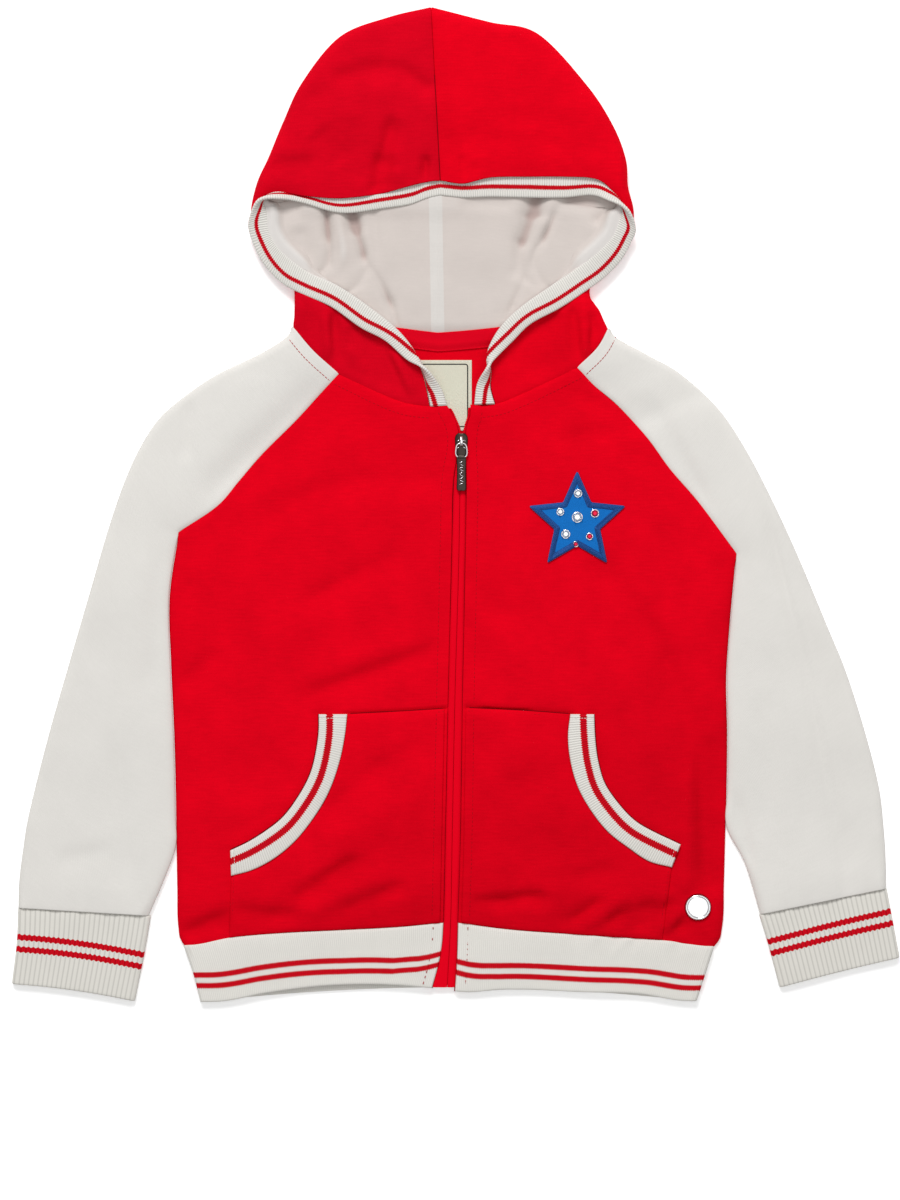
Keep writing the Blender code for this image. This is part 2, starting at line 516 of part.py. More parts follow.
def hood(material, lining_material):
    """Two-piece hood and its two-piece lining, both wrapped from the centre back over the crown to the opening."""
    for side in ("left", "right"):
        for name, lining, finish_of in (("outer", False, material), ("lining", True, lining_material)):
            grid = np.array([hood_row(side, number, lining) for number in range(len(HOOD[side]))])
            grid[0, :, 1] += SEAM_SHIFT
            sheet(f"hood_{name}_{side}", grid, KNIT, finish_of)


def hood_trim(material):
    """Trim round the opening: each section runs straight from the sewn edge to the free edge."""
    halves = []
    share = np.linspace(0, 1, 3)[:, None]
    for side in ("left", "right"):
        sections = []
        for seam, fold, edge, free, height, free_height, roll, lined in HOOD[side]:
            first, last = np.array([*edge, height]), np.array([*free, free_height])
            sections.append(first + share * (last - first))
        halves.append(np.array(sections))
    grid = np.concatenate([halves[0], halves[1][-2::-1]])
    grid[[0, -1], :, 1] += SEAM_SHIFT
    sheet("hood_trim", grid, RIB, material)


def neck_tape(material):
    """Tape over the back neck seam, half on the back panel and half on the hood's lining."""
    x = np.linspace(*TAPE_ENDS, 9)
    seam = np.interp(x, (NECK["left"][0][0], BACK_NECK_MIDDLE[0], NECK["right"][0][0]),
                     (NECK["left"][0][1], BACK_NECK_MIDDLE[1], NECK["right"][0][1]))
    on_back = KNIT + SEAM + TAPE / 2
    on_lining = LINING_FLOOR + KNIT / 2 + SEAM + TAPE / 2
    rows = [(x, seam + offset, np.full_like(x, z)) for offset, z in
            ((-TAPE_BELOW, on_back), (-2.5, on_lining), (TAPE_ABOVE, on_lining))]
    sheet("neck_tape", np.array(rows).transpose(0, 2, 1), TAPE, material)


def label(material):
    low, high = LABEL
    outline = [(low[0], low[1]), (high[0], low[1]), (high[0], high[1]), (low[0], high[1])]
    plate("label", outline, KNIT + SEAM, KNIT + SEAM + LABEL_WALL, material)


# ---------------------------------------------------------------- pockets

def pocket(side, material, trim_material):
    """Patch pocket made from the front's own height, moved out, with a trim along its curved opening."""
    way = 1 if side == "left" else -1
    u = np.linspace(0, 1, 7)
    t = np.linspace(0, 1, 9)
    sewn = smooth(TRIM_INNER[side], t)
    near = np.vstack([sewn + 2 * SEAM * across(sewn, (0, -260)), POCKET_SEAM_END[side]])
    drop = near[0, 1] - near[:, 1]
    v = drop / drop[-1]
    far_y = POCKET_TOP[side][-1][1] + v * (POCKET_ZIP_LOW - POCKET_TOP[side][-1][1])
    line = np.array(ZIP_EDGE[side])
    far = np.column_stack([np.interp(far_y, line[:, 1], line[:, 0]) - way * POCKET_ZIP_INSET, far_y])
    plan = blended(smooth(POCKET_TOP[side], u), near[-1] + u[:, None] * (far[-1] - near[-1]), near, far, u, v)
    height = lay(plan[..., 0], plan[..., 1]) + KNIT + SEAM + 0.1
    sheet(f"pocket_{side}", np.dstack([plan, height]), KNIT, material)
    share = np.linspace(0, 1, 3)[None, :, None]
    inner, outer = sewn[:, None], smooth(TRIM_OUTER[side], t)[:, None]
    plan = inner + share * (outer - inner)
    height = lay(plan[..., 0], plan[..., 1]) + KNIT / 2 + RIB / 2 + SEAM + 0.1
    sheet(f"pocket_trim_{side}", np.dstack([plan, height]), RIB, trim_material)


# ---------------------------------------------------------------- zip

def zip_tape(side, material):
    """Zip tape from beneath the front's edge to the closed middle; above the slider it follows the neck opening."""
    way = 1 if side == "left" else -1
    edge = np.array(HEM_ZIP[side][::-1] + ZIP_EDGE[side][1:], float)
    gap = smooth(ZIP_GAP, np.linspace(0, 1, 14))
    gap[:, 0] -= way * (0.2 + 0.9 * ease((gap[:, 1] - SLIDER_TOP[1] + 26) / 20))
    inner = np.vstack([gap, edge[-3:-1] + (way * 0.6, 0)])
    outer = np.column_stack([np.interp(inner[:, 1], edge[:, 1], edge[:, 0]) - way * TAPE_UNDER, inner[:, 1]])
    share = np.linspace(0, 1, 3)[None, :, None]
    plan = outer[:, None] + share * (inner - outer)[:, None]
    sheet(f"zip_tape_{side}", np.dstack([plan, np.full(plan.shape[:2], TAPE_MID)]), TAPE, material)


def block(name, low, high, material):
    """A box between two corners, in millimetres."""
    x, y = (low[0], high[0]), (low[1], high[1])
    return plate(name, [(x[0], y[0]), (x[1], y[0]), (x[1], y[1]), (x[0], y[1])], low[2], high[2], material)


def union(base, *others):
    """Boolean union, applied, of the other objects into the first."""
    for other in others:
        join = base.modifiers.new("join", "BOOLEAN")
        join.operation = "UNION"
        join.object = other
        mesh = bpy.data.meshes.new_from_object(base.evaluated_get(bpy.context.evaluated_depsgraph_get()))
        base.modifiers.clear()
        base.data = mesh
        bpy.data.objects.remove(other)
    return base


def slider(material):
    """Slider: a plate above the tapes and one below, a post between them, and a bridge that holds the pull."""
    x, top = SLIDER_TOP
    body = np.array([(-0.30, 0), (-0.5, -0.22), (-0.46, -0.6), (-0.40, -1), (0.40, -1), (0.46, -0.6), (0.5, -0.22),
                     (0.30, 0)])
    under = TAPE_MID - TAPE / 2 - SEAM
    base = plate("zip_slider", body * SLIDER_SIZE + SLIDER_TOP, SLIDER_PLATE[0], SLIDER_PLATE[1], material)
    lower = plate("lower", body * SLIDER_SIZE * 0.9 + (x, top - 0.4), under - 0.5, under, material)
    post = block("post", (x - 0.55, top - 2.6, under - 0.2), (x + 0.55, top - 0.8, SLIDER_PLATE[0] + 0.3), material)
    near, far = PULL_HINGE[0] - BRIDGE_NEAR, PULL_HINGE[0] + BRIDGE_FAR
    bar_low = PULL_HINGE[1] + PULL_BAR + SEAM
    first = block("first", (x - 1, near - 1.2, SLIDER_PLATE[1] - 0.3), (x + 1, near, bar_low + 0.9), material)
    second = block("second", (x - 1, far, SLIDER_PLATE[1] - 0.3), (x + 1, far + 1.2, bar_low + 0.9), material)
    bar = block("bar", (x - 0.8, near - 0.3, bar_low), (x + 0.8, far + 0.3, bar_low + 0.8), material)
    union(base, lower, post, first, second, bar)


def pull(material):
    """Pull tab on a square loop whose bar turns under the slider's bridge; at rest its end droops to the cloth."""
    half, length, loop = PULL_WIDTH / 2, PULL_LENGTH, LOOP_LENGTH
    arm = LOOP_WIDTH / 2
    tab = [(-half, -length + 1), (-half + 1, -length), (half - 1, -length), (half, -length + 1), (half, -loop - 0.6),
           (half - 0.6, -loop), (-half + 0.6, -loop), (-half, -loop - 0.6)]
    base = plate("zip_pull", tab, -0.55, 0.55, material)
    cross = block("cross", (-arm, -loop - 0.2, -0.5), (arm, -loop + 1.0, 0.5), material)
    first = block("first", (-arm, -loop + 0.4, -0.6), (-arm + 1.2, 0.5, 0.6), material)
    second = block("second", (arm - 1.2, -loop + 0.4, -0.6), (arm, 0.5, 0.6), material)
    turn = np.linspace(0, 2 * np.pi, 13)[:-1]
    bar = plate("bar", np.column_stack([PULL_BAR * np.cos(turn), PULL_BAR * np.sin(turn)]), -arm + 0.4, arm - 0.4,
                material)
    bar.data.transform(Matrix.Rotation(np.pi / 2, 4, "Y"))
    union(base, cross, first, second, bar)
    base.data.transform(Matrix.Rotation(PULL_DROOP, 4, "X"))
    base.location = (SLIDER_TOP[0] * MM, PULL_HINGE[0] * MM, PULL_HINGE[1] * MM)


# ---------------------------------------------------------------- disc and patch

def turned(name, profile, centre, segments, material):
    """A round piece turned about a vertical axis: profile rows of (radius, height) from the bottom middle outwards."""
    turn = np.linspace(0, 2 * np.pi, segments, endpoint=False)
    rings = [(r, z) for r, z in profile if r > 0]
    points = [(centre[0] + r * np.cos(a), centre[1] + r * np.sin(a), z) for r, z in rings for a in turn]
    faces = []
    for k in range(len(rings) - 1):
        for i in range(segments):
            j = (i + 1) % segments
            faces.append((k * segments + i, k * segments + j, (k + 1) * segments + j, (k + 1) * segments + i))
    faces.append(tuple(range(segments))[::-1])
    faces.append(tuple(range((len(rings) - 1) * segments, len(rings) * segments)))
    mesh = bpy.data.meshes.new(name)
    mesh.from_pydata([tuple(c * MM for c in p) for p in points], [], faces)
    mesh.shade_smooth()
    return add(name, mesh, material)


def disc(material):
    """Slightly domed disc with a rounded rim, on the front above the hem."""
    base = lay(*BADGE) + KNIT / 2 + SEAM
    profile = [(BADGE_RADIUS - 0.6, 0), (BADGE_RADIUS, 0.4), (BADGE_RADIUS, 0.9), (BADGE_RADIUS - 0.5, 1.3),
               (BADGE_RADIUS - 1.2, 1.35), (BADGE_RADIUS - 1.7, 1.1), (BADGE_RADIUS * 0.5, 1.45), (0.8, 1.6)]
    turned("badge_disc", [(r, base + z) for r, z in profile], BADGE, 20, material)


def star(felt, stone):
    """Five-pointed felt patch on the front, made from the front's own height, with a stone at each named place."""
    turn = np.pi / 2 + np.arange(10) * np.pi / 5
    radius = np.where(np.arange(10) % 2 == 0, STAR_RADIUS, STAR_RADIUS * STAR_WAIST)
    outline = np.column_stack([radius * np.cos(turn), radius * np.sin(turn)]) + STAR
    base = lay(outline[:, 0], outline[:, 1]).max() + KNIT / 2 + SEAM
    plate("star_patch", outline, base, base + FELT, felt)
    top = base + FELT + SEAM
    for number, (x, y, size) in enumerate(STONES, 1):
        profile = [(size, top), (size, top + 0.15 * size), (size * 0.55, top + 0.6 * size)]
        turned(f"stone_{number}", profile, (STAR[0] + x, STAR[1] + y), 8, stone)


# ---------------------------------------------------------------- the jacket

def main():
    for thing in list(bpy.data.objects):
        bpy.data.objects.remove(thing)
    red = finish("red_knit", RED, 0.85)
    white = finish("white_knit", WHITE, 0.9)
    rib = finish("white_rib", WHITE, 0.9)
    tape = finish("red_tape", RED, 0.7)
    metal = finish("dark_metal", GUNMETAL, 0.3, 1.0)
    back(red)
    for side in ("left", "right"):
        front(side, red)
        sleeve(side, white)
        cuff(side, rib)
        pocket(side, red, rib)
        zip_tape(side, tape)
    hem(rib)
    hood(red, white)
    hood_trim(rib)
    neck_tape(tape)
    label(finish("label_weave", CREAM, 0.6))
    slider(metal)
    pull(metal)
    disc(finish("polished_metal", STEEL, 0.12, 1.0))
    star(finish("blue_felt", BLUE, 0.95), finish("cut_stone", CLEAR, 0.05))


main()
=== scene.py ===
"""Looks of a child's zip-front hooded knit jacket, laid flat on its back with its hood spread open.

The frame has +X to the viewer's right, +Y towards the hood and +Z up from the ground. "left" and "right"
are the viewer's. Tables and shapes are in millimetres; a mesh is put into metres when it is made.

Every cloth piece is a slab: a grid of middle points with half a wall to each side, thinned to nothing along
its free edges, so that they are round. Folds, seams and creases are heights added to the grid before it
gets its wall.
"""

import bpy
import numpy as np
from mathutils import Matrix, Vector


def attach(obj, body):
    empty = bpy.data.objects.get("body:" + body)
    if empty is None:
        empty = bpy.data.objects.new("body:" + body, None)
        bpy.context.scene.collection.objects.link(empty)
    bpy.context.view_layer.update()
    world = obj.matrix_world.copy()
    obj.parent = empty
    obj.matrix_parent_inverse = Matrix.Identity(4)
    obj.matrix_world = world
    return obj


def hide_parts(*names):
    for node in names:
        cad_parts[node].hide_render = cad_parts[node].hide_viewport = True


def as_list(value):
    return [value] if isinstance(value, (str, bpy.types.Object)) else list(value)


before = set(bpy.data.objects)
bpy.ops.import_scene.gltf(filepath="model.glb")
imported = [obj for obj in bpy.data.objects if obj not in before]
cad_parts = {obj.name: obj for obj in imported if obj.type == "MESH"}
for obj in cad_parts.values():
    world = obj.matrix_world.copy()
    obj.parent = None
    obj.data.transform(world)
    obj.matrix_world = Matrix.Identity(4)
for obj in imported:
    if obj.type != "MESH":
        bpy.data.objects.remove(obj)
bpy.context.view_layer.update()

MM = 0.001
UV_UNIT = 100.0     # millimetres to one unit of a piece's UV map

KNIT = 1.4          # wall of the brushed knit and of the lining
RIB = 2.2           # wall of the doubled rib
TAPE = 0.8          # wall of the woven tapes
FLOOR = KNIT / 2    # middle of a layer that lies on the ground
LAY = 4.4           # middle of the upper layer of the body and sleeves
NECK_RISE = 2.2     # how much higher that layer is along the neck seam
NECK_REACH = 20.0   # how far below the neck seam it has almost sunk again
FOLD = 5.0          # how far in from a fold the cloth takes to level out
PUFF = 1.3          # how much the middle of a sleeve stands above its edges
SEAM_DIP = 0.75     # how deep the cloth sinks along a seam
SEAM_WIDTH = 1.5
SEAM_LAP = 0.35     # how far two sewn edges run into each other, so that no slit shows between them
INWARDS = {"left": 1, "right": -1}     # which way along X the middle of the garment lies
EDGE_STEPS = np.array([0, 0.05, 0.2, 0.45, 0.75, 1.1, 1.7, 2.6])   # distances from an edge that a grid has
RIB_STEPS = np.array([0, 0.12, 0.5, 1.15, 2.4])
HEM_PITCH, TRIM_PITCH, CUFF_PITCH = 1.3, 1.5, 3.2   # width of one rib
HOOD_STRIPE, POCKET_STRIPE = 7.0, 7.1       # from a trim's free edge to the middle of its stripe
HEM_STRIPES, CUFF_STRIPES = (9.2, 16.3), (23.2, 31.0)       # the same for the two stripes of hem and cuff
TOPSTITCH = 7.4     # from the zip edge to the line of stitches beside it
CROWN_PUFF = 2.8    # how much the crown stands up between its fold and its opening
LIP_REACH = 12.0    # how far inside the opening the lining comes down to the ground
# Row of the hood, and how far the middle of its trim's stripe is from the free edge there
STRIPE_FREE = {
    "left": [(0, 7.4), (2, 7.4), (5, 6), (9, 6.2), (12, 5), (14, 4), (15.5, 5.6), (17, 6.4), (19, 6.2)],
    "right": [(0, 6.3), (2, 6.3), (5, 5.8), (9, 6), (12, 5.2), (14, 6), (16, 6.9), (19, 6.2)],
}


# ------------------------------------------------------------------ the pieces' edges, as in the construction

ARMPIT = 7          # row of the side seam that is the armpit
SIDE_SEAM = {
    "left": [(-76, 85.5), (-80.2, 80.9), (-87.5, 73), (-103.5, 55.5), (-127, 32), (-141.5, 15),
             (-155, -0.5), (-180.5, -17.5), (-186.5, -60), (-185.5, -105), (-183.5, -150), (-182.3, -200),
             (-182, -222)],
    "right": [(79, 89.5), (83, 85.3), (90, 78), (105.5, 65), (125, 43.5), (139.5, 23.5), (158, 2),
              (183, -31.5), (178.7, -77), (176.5, -110), (177, -150), (176.7, -185), (176, -209)],
}
BODY_SIDE = {
    "left": [(-181.5, -250), (-180.8, -275), (-179.8, -282), (-177, -286.7)],
    "right": [(175, -247), (173.6, -275.5), (172, -283), (168.5, -287.4)],
}
SLEEVE_FOLD = {
    "left": [(-106.3, 116), (-109.7, 109), (-127, 98), (-155, 84.5), (-178, 69), (-195, 53), (-210, 27),
             (-223.5, -9), (-238.5, -60), (-252.5, -108), (-265, -152), (-277, -200), (-281, -224)],
    "right": [(99.8, 115), (104.5, 108.3), (125, 97), (146, 85), (170, 63), (188, 36.5), (206, 2),
              (223, -35), (240.5, -77), (254, -110), (266.5, -150), (275, -184), (278, -210)],
}
SLEEVE_END = {
    "left": [((-283.5, -245), (-190, -245)), ((-284, -262), (-199.5, -267))],
    "right": [((279.3, -231), (188, -233)), ((279.5, -249.5), (198, -266))],
}
NECK = {
    "left": [(-105, 115.5), (-93, 101), (-76, 85.5), (-62, 78.5), (-48.5, 72), (-32.5, 66), (-16.5, 64),
             (-5.5, 64.5)],
    "right": [(98.5, 114.5), (93, 104), (79, 89.5), (58, 79), (42, 71.5), (25.5, 65.5), (17, 64.5),
              (9.5, 65)],
}
BACK_NECK_MIDDLE = (-11.5, 106)
BACK_RAGLAN_NECK = {"left": 0.67, "right": 0.78}
ZIP_EDGE = {
    "left": [(-8, -271.5), (-7, -224.5), (-5, -127), (-2.5, -23), (-1.5, 16), (2, 46), (1, 51.5),
             (-3, 60.5), (-5.5, 64.5)],
    "right": [(1.5, -271.5), (3, -224.5), (4.5, -127), (6.5, -23), (7, 16), (6.5, 46), (7.5, 52.5),
              (9.5, 58.5), (9.5, 65)],
}
HEM_SEAM = {
    "left": [(-177, -286.7), (-168, -285.8), (-147, -281.7), (-121.5, -279), (-74.5, -276.5), (-30, -273.9),
             (-8, -271.5)],
    "right": [(168.5, -287.4), (157, -286.3), (138, -283.6), (120, -282.2), (81, -279.5), (29, -275.5),
              (1.5, -271.5)],
}
ZIP_GAP = [(-5.5, -314), (-3.3, -272), (-2.4, -224.5), (-0.5, -127), (2.3, -23), (2.8, 9), (4, 46)]
CUFF = {
    "left": [((-284, -262.2), (-199.5, -267.2)), ((-284.5, -281.5), (-202.5, -285)),
             ((-288, -312), (-210, -323))],
    "right": [((279.5, -249.7), (198.5, -266.3)), ((283.5, -271), (204, -284)), ((288, -295), (212, -314))],
}
CUFF_BOW = {"left": 1.5, "right": 0.5}
CUFF_LAY = 4.5
HEM_FOLD = {
    "left": [(-177, -286.9), (-171.7, -302), (-166, -323.5)],
    "right": [(168.4, -287.6), (162.8, -305), (157, -323)],
}
HEM_LOWER = {
    "left": [(-166, -323.5), (-150, -323), (-121.5, -317.5), (-86.5, -312.8), (-63, -311.6), (-36, -312.2),
             (-15.5, -314)],
    "right": [(157, -323), (143, -322.5), (120, -318.5), (81, -317), (29, -315.5), (5.5, -317),
              (-0.5, -316.5)],
}
HEM_ZIP = {
    "left": [(-8, -272), (-9, -286.5), (-11, -298), (-15.5, -314.5)],
    "right": [(1.5, -272), (1, -292.5), (-0.5, -316.5)],
}
HEM_LAY = 4.9
# x, and how far the hem's upper stripe is from its lower edge there
HEM_STRIPE = [
    (-166, 18.2), (-140, 17.4), (-110, 16.9), (-74, 15.9), (-40, 16.2), (-24, 18.6), (-17, 20.6),
    (-10.5, 23.2), (-5, 21), (0, 19.8), (8, 18.4), (18, 17), (29, 16), (120, 15.3), (162, 16.3),
]
HEM_BACK_BOW = 9.0

# Hood, a row for each station from the neck round the opening to its front centre. Alike on both sides: the
# seam's x and y on the ground, the height of the sewn edge, and how much of the row has lining beneath the
# outer
HOOD_SHARED = [
    ((-11.5, 106), 6.6, 1), ((-11.5, 111), 7.2, 1), ((-11.5, 117), 9.0, 1), ((-11.4, 123), 10.8, 1),
    ((-11.3, 130), 12.0, 1), ((-11.2, 138), 12.2, 0.75), ((-11, 146), 11.6, 0.5), ((-11, 155), 9.5, 0.35),
    ((-11, 166), 9.5, 0), ((-11, 178), 9.8, 0), ((-11, 190), 10.0, 0), ((-11, 203), 10.5, 0),
    ((-11.2, 216), 11.0, 0.5), ((-11.5, 229), 12.0, 1), ((-12, 243), 12.0, 1), ((-12.5, 256), 12.0, 1),
    ((-13, 269), 12.0, 1), ((-14, 281), 11.8, 1), ((-14.5, 289), 11.6, 1), ((-14.8, 296), 11.5, 1),
]
# On each side: x and y of the fold, of the sewn edge and of the trim's free edge, that edge's height, and
# how far the trim is rolled outwards
HOOD = {
    "left": [
        ((-105, 115.5), (-16.5, 64), (-5.5, 64.5), 6.6, 0.0),
        ((-105, 118), (-18.5, 75), (-9.5, 76), 9.0, 0.1),
        ((-104.5, 121.5), (-20.5, 86), (-19, 88), 15.5, 0.5),
        ((-104.3, 125), (-26, 98.5), (-31, 93.5), 12.6, 0.9),
        ((-104.2, 129), (-37, 112.5), (-46, 106.5), 12.0, 1.0),
        ((-104.2, 133), (-54.5, 127), (-62, 115), 12.0, 1.0),
        ((-104.3, 138), (-75, 141), (-81, 128.5), 11.2, 1.0),
        ((-105, 144), (-94.5, 150.5), (-100, 137), 9.4, 1.0),
        ((-111, 153), (-107.5, 160), (-114, 145), 7.6, 1.0),
        ((-120.5, 165), (-116, 168.5), (-126, 158.5), 7.6, 1.0),
        ((-127, 178), (-121, 178.5), (-134, 176.5), 8.2, 1.0),
        ((-132, 187.5), (-122.5, 189), (-134, 186.5), 11.5, 0.9),
        ((-132, 196), (-124.5, 198), (-127.5, 197), 19.0, 0.5),
        ((-128, 211), (-115, 202.5), (-114, 198), 17.0, 0.2),
        ((-121, 226), (-98, 200), (-100, 196), 11.0, 0.05),
        ((-111.5, 249), (-75, 198.5), (-74.5, 189.5), 9.4, 0.0),
        ((-99, 275), (-49, 201.5), (-46.5, 192.5), 9.4, 0.0),
        ((-75, 304), (-29.5, 206.5), (-30, 195), 9.3, 0.0),
        ((-44, 316.5), (-19, 209), (-19, 199), 9.2, 0.0), ((-16, 323.2), (-10, 210), (-10, 201), 9.2, 0.0),
    ],
    "right": [
        ((98.5, 114.5), (25.5, 65.5), (12, 65), 6.6, 0.0), ((97, 117.5), (22.5, 76), (14, 79), 9.0, 0.1),
        ((95.5, 120.5), (22, 86.5), (20, 88.5), 15.5, 0.5), ((94, 124), (20.5, 99), (27, 96), 12.6, 0.9),
        ((92.5, 127), (29, 115), (37.5, 106.5), 12.0, 1.0),
        ((89.5, 131), (43.5, 129), (49, 117.5), 12.0, 1.0),
        ((87, 135), (60.5, 141), (67.5, 127.5), 11.2, 1.0),
        ((87, 142), (75.5, 151.5), (84, 138.5), 9.4, 1.0), ((92, 151), (87.5, 160.5), (97, 148), 7.6, 1.0),
        ((102, 162), (96.5, 168.5), (107.5, 159), 7.6, 1.0),
        ((109, 172), (102.5, 176), (114, 170.5), 8.2, 1.0),
        ((114.5, 183), (106, 185), (117, 179.5), 11.5, 0.9),
        ((115, 193), (108, 193.5), (111, 191), 19.0, 0.5),
        ((111.5, 207), (101.5, 203), (99, 197), 15.0, 0.2), ((110, 225), (91, 211), (88, 201), 10.0, 0.0),
        ((101.5, 247), (71, 212.5), (70, 199.5), 9.4, 0.0),
        ((84.5, 273), (47, 212.5), (47, 199.5), 9.4, 0.0), ((53, 306), (23, 212), (23, 200), 9.3, 0.0),
        ((22, 313.5), (5, 208), (6, 199.5), 9.2, 0.0), ((-16, 323.2), (-10, 210), (-10, 201), 9.2, 0.0),
    ],
}
HOOD_MIDDLE = (-10.0, 165.0)    # a place within the hood's opening
CROWN_FOLD = 7.0        # how far in from its fold the crown takes to level out
OUTER_LOWEST = 6.4      # lowest that the hood's upper outer layer sinks, clear of the three layers beneath it
COLLAR_PUFF = 2.2       # how much the collar stands up between its fold and its trim
COLLAR_SINK = 2.0       # how far the collar falls away from its rolled trim
ROLLED_DROP = KNIT / 2 + RIB / 2 + 0.7      # how far the outer lies below a trim that is rolled over it
LINING_FLOOR = FLOOR + KNIT + 0.3       # middle of the lining where it lies on the outer
LINING_DROP = KNIT + 1.2    # how far the lining lies below the outer
LINING_INSET = 3.0      # how far inside the outer's fold the lining folds
CROWN_START = 11        # row of the hood where its rolled side becomes the standing crown

POCKET_TOP = {
    "left": [(-70, -136), (-31, -134), (-7, -132.5)],
    "right": [(74.5, -136), (40, -133.5), (7.5, -132)],
}
POCKET_SEAM_END = {"left": (-147.5, -279), "right": (134.5, -281)}
POCKET_ZIP_LOW = -270.5     # y at which a pocket's edge at the zip ends
BADGE = (157.5, -261.5)
BADGE_RADIUS = 8.2
TRIM_INNER = {
    "left": [(-70.5, -136), (-72, -149.5), (-76, -168.5), (-82.5, -186.5), (-93.5, -205), (-105, -219),
             (-120, -231), (-133, -237.5), (-146, -241)],
    "right": [(74.5, -136), (73, -149.5), (74.5, -166), (79.5, -183.5), (88.5, -199.5), (99, -212.5),
              (112.5, -223), (125.5, -231.5), (140.5, -235.5)],
}
TRIM_OUTER = {
    "left": [(-89, -136), (-89, -146), (-90.5, -158.5), (-94.5, -174.5), (-103, -190.5), (-113, -203.5),
             (-124.5, -212.5), (-135, -219), (-146.5, -224.5)],
    "right": [(90, -136), (90.5, -149.5), (92.5, -166), (97, -181), (105, -193), (117, -205.5),
              (131, -213.5), (138.5, -217), (146, -220.5)],
}

# Soft creases: x and y of both ends, width, height and lean, as creases() reads them
FRONT_CREASES = [
    (-143, -13, -75, 15, 7.8, -0.6, 1.6), (-75, 15, -7, 17, 7.8, -0.5, 1.4),
    (-98, -63, -36, -31, 5.9, -0.7, 1.6), (-101, -125, -15, -94, 5.2, -0.9, 1.8),
    (-101, -114, -17, -85, 7.8, 0.5, 1), (-179, -120, -156, -94, 5.9, -0.5, 1.3),
    (-86, -204, -48, -168, 8, -0.75, 1.6), (-52, -172, -20, -154, 6.5, -0.5, 1.6),
    (-70, -222, -14, -176, 9, 0.35, 1), (-104, -257, -64, -230, 5, -2.1, 1.7),
    (-98, -266, -46, -240, 5.5, 0.5, 1), (-74, -263, -48, -253, 4.4, -0.8, 1.5),
    (-52, -254, -34, -247, 4, -1.1, 1.5), (-179, -280, -148, -267, 4.5, -1.5, 1.8),
    (-147, -263, -101, -268, 4, -0.8, 1.4), (-129, -276, -111, -260, 3.9, -0.6, 1.3),
    (94, -36, 133, -88, 6.5, -0.9, 1.5), (130, -88, 163, -164, 7.5, -1.1, 1.5),
    (164, -160, 168, -254, 5.5, -2.6, 1.4), (150, -176, 149, -258, 6, 1.3, 1),
    (12, -258, 30, -256, 3, -1.2, 1.8), (28, -258, 44, -255, 3.6, -1.7, 1.8),
    (42, -253, 54, -254, 2.6, -1.5, 2), (50, -262, 56, -252, 3.4, -1.4, 1.5),
    (74, -271, 95, -256, 3.2, -1.6, 1.6), (98, -272, 132, -259, 4.2, -2, 1.7),
    (86, -274, 109, -253, 2.4, 1.4, 1), (101, -281, 121, -261, 2.2, 1.4, 1),
    (112, -277, 124, -265, 2.2, -1.6, 1.5), (122, -276, 141, -257, 3.2, -1.2, 1.5),
    (136, -277, 146, -263, 2.4, 1.0, 1), (143, -278, 155, -262, 3, -1.5, 1.6),
    (29, -185, 68, -172, 8.5, -0.6, 1.2), (68, 42, 120, 52, 5.2, -0.5, 1.2),
    (22, -222, 70, -214, 9, -0.5, 1.4), (60, -244, 108, -236, 5, -0.5, 1.4),
    (-150, -215, -112, -196, 6, -0.4, 1.3), (68, 76, 126, 52, 4.5, -0.4, 1.3),
    (16, -62, 68, -88, 9.1, -0.5, 1.3), (-82, -75, -101, -101, 7.8, -0.3, 1.2),
]
CROWN_CREASES = [
    (-80, 276, -50, 284, 5.5, -1.1, 1.6), (-54, 284, -30, 281, 5.5, -1.2, 1.6),
    (-32, 281, -16, 268, 4.5, -1.1, 1.5), (-49, 218, -41, 250, 3.8, -2, 2.4),
    (-53, 194, -49, 226, 4.2, -3.2, 2), (-66, 250, -60, 210, 9, -1, 1.4), (-35, 252, -41, 208, 5.9, 0.8, 1),
    (-127, 219, -88, 223, 5, -0.9, 1.5), (-88, 243, -72, 224, 8, -0.8, 1.4),
    (-108, 262, -100, 276, 5, -0.7, 1.3), (30, 252, 80, 244, 8, -0.6, 1.2),
    (-6, 238, 100, 232, 7, -0.4, 1.2), (-19, 226, -20, 208, 2.6, -1.5, 1.3),
    (4, 226, 7, 209, 2.6, -0.5, 1.3), (12, 222, 16, 208, 2.4, -0.4, 1.3),
    (52, 240, 68, 231, 4.5, -0.3, 1.2), (-101, 263, -82, 268, 6.5, -0.4, 1),
]
COLLAR_CREASES = [
    (-79, 124, -76, 92, 2.6, -2.2, 1.4), (-84, 124, -82, 96, 3, 1.1, 1.2), (-66, 116, -52, 98, 4, -1.8, 2),
    (-54, 100, -44, 88, 4, -2.2, 2), (-46, 92, -35, 70, 4, -2.4, 2), (-68, 104, -56, 86, 5, 0.9, 1),
    (-41, 99, -28, 72, 3.5, 1.3, 0.8), (76, 127, 79, 97, 2.6, -1.9, 1.4), (85, 134, 84, 98, 3, 1.3, 1.2),
    (91, 128, 89, 104, 2.2, -1, 1.2), (66, 124, 56, 99, 4.5, -1.6, 1.5), (50, 116, 40, 90, 4, -1.3, 1.4),
    (34, 100, 28, 78, 4.5, -1.2, 1.3),
]
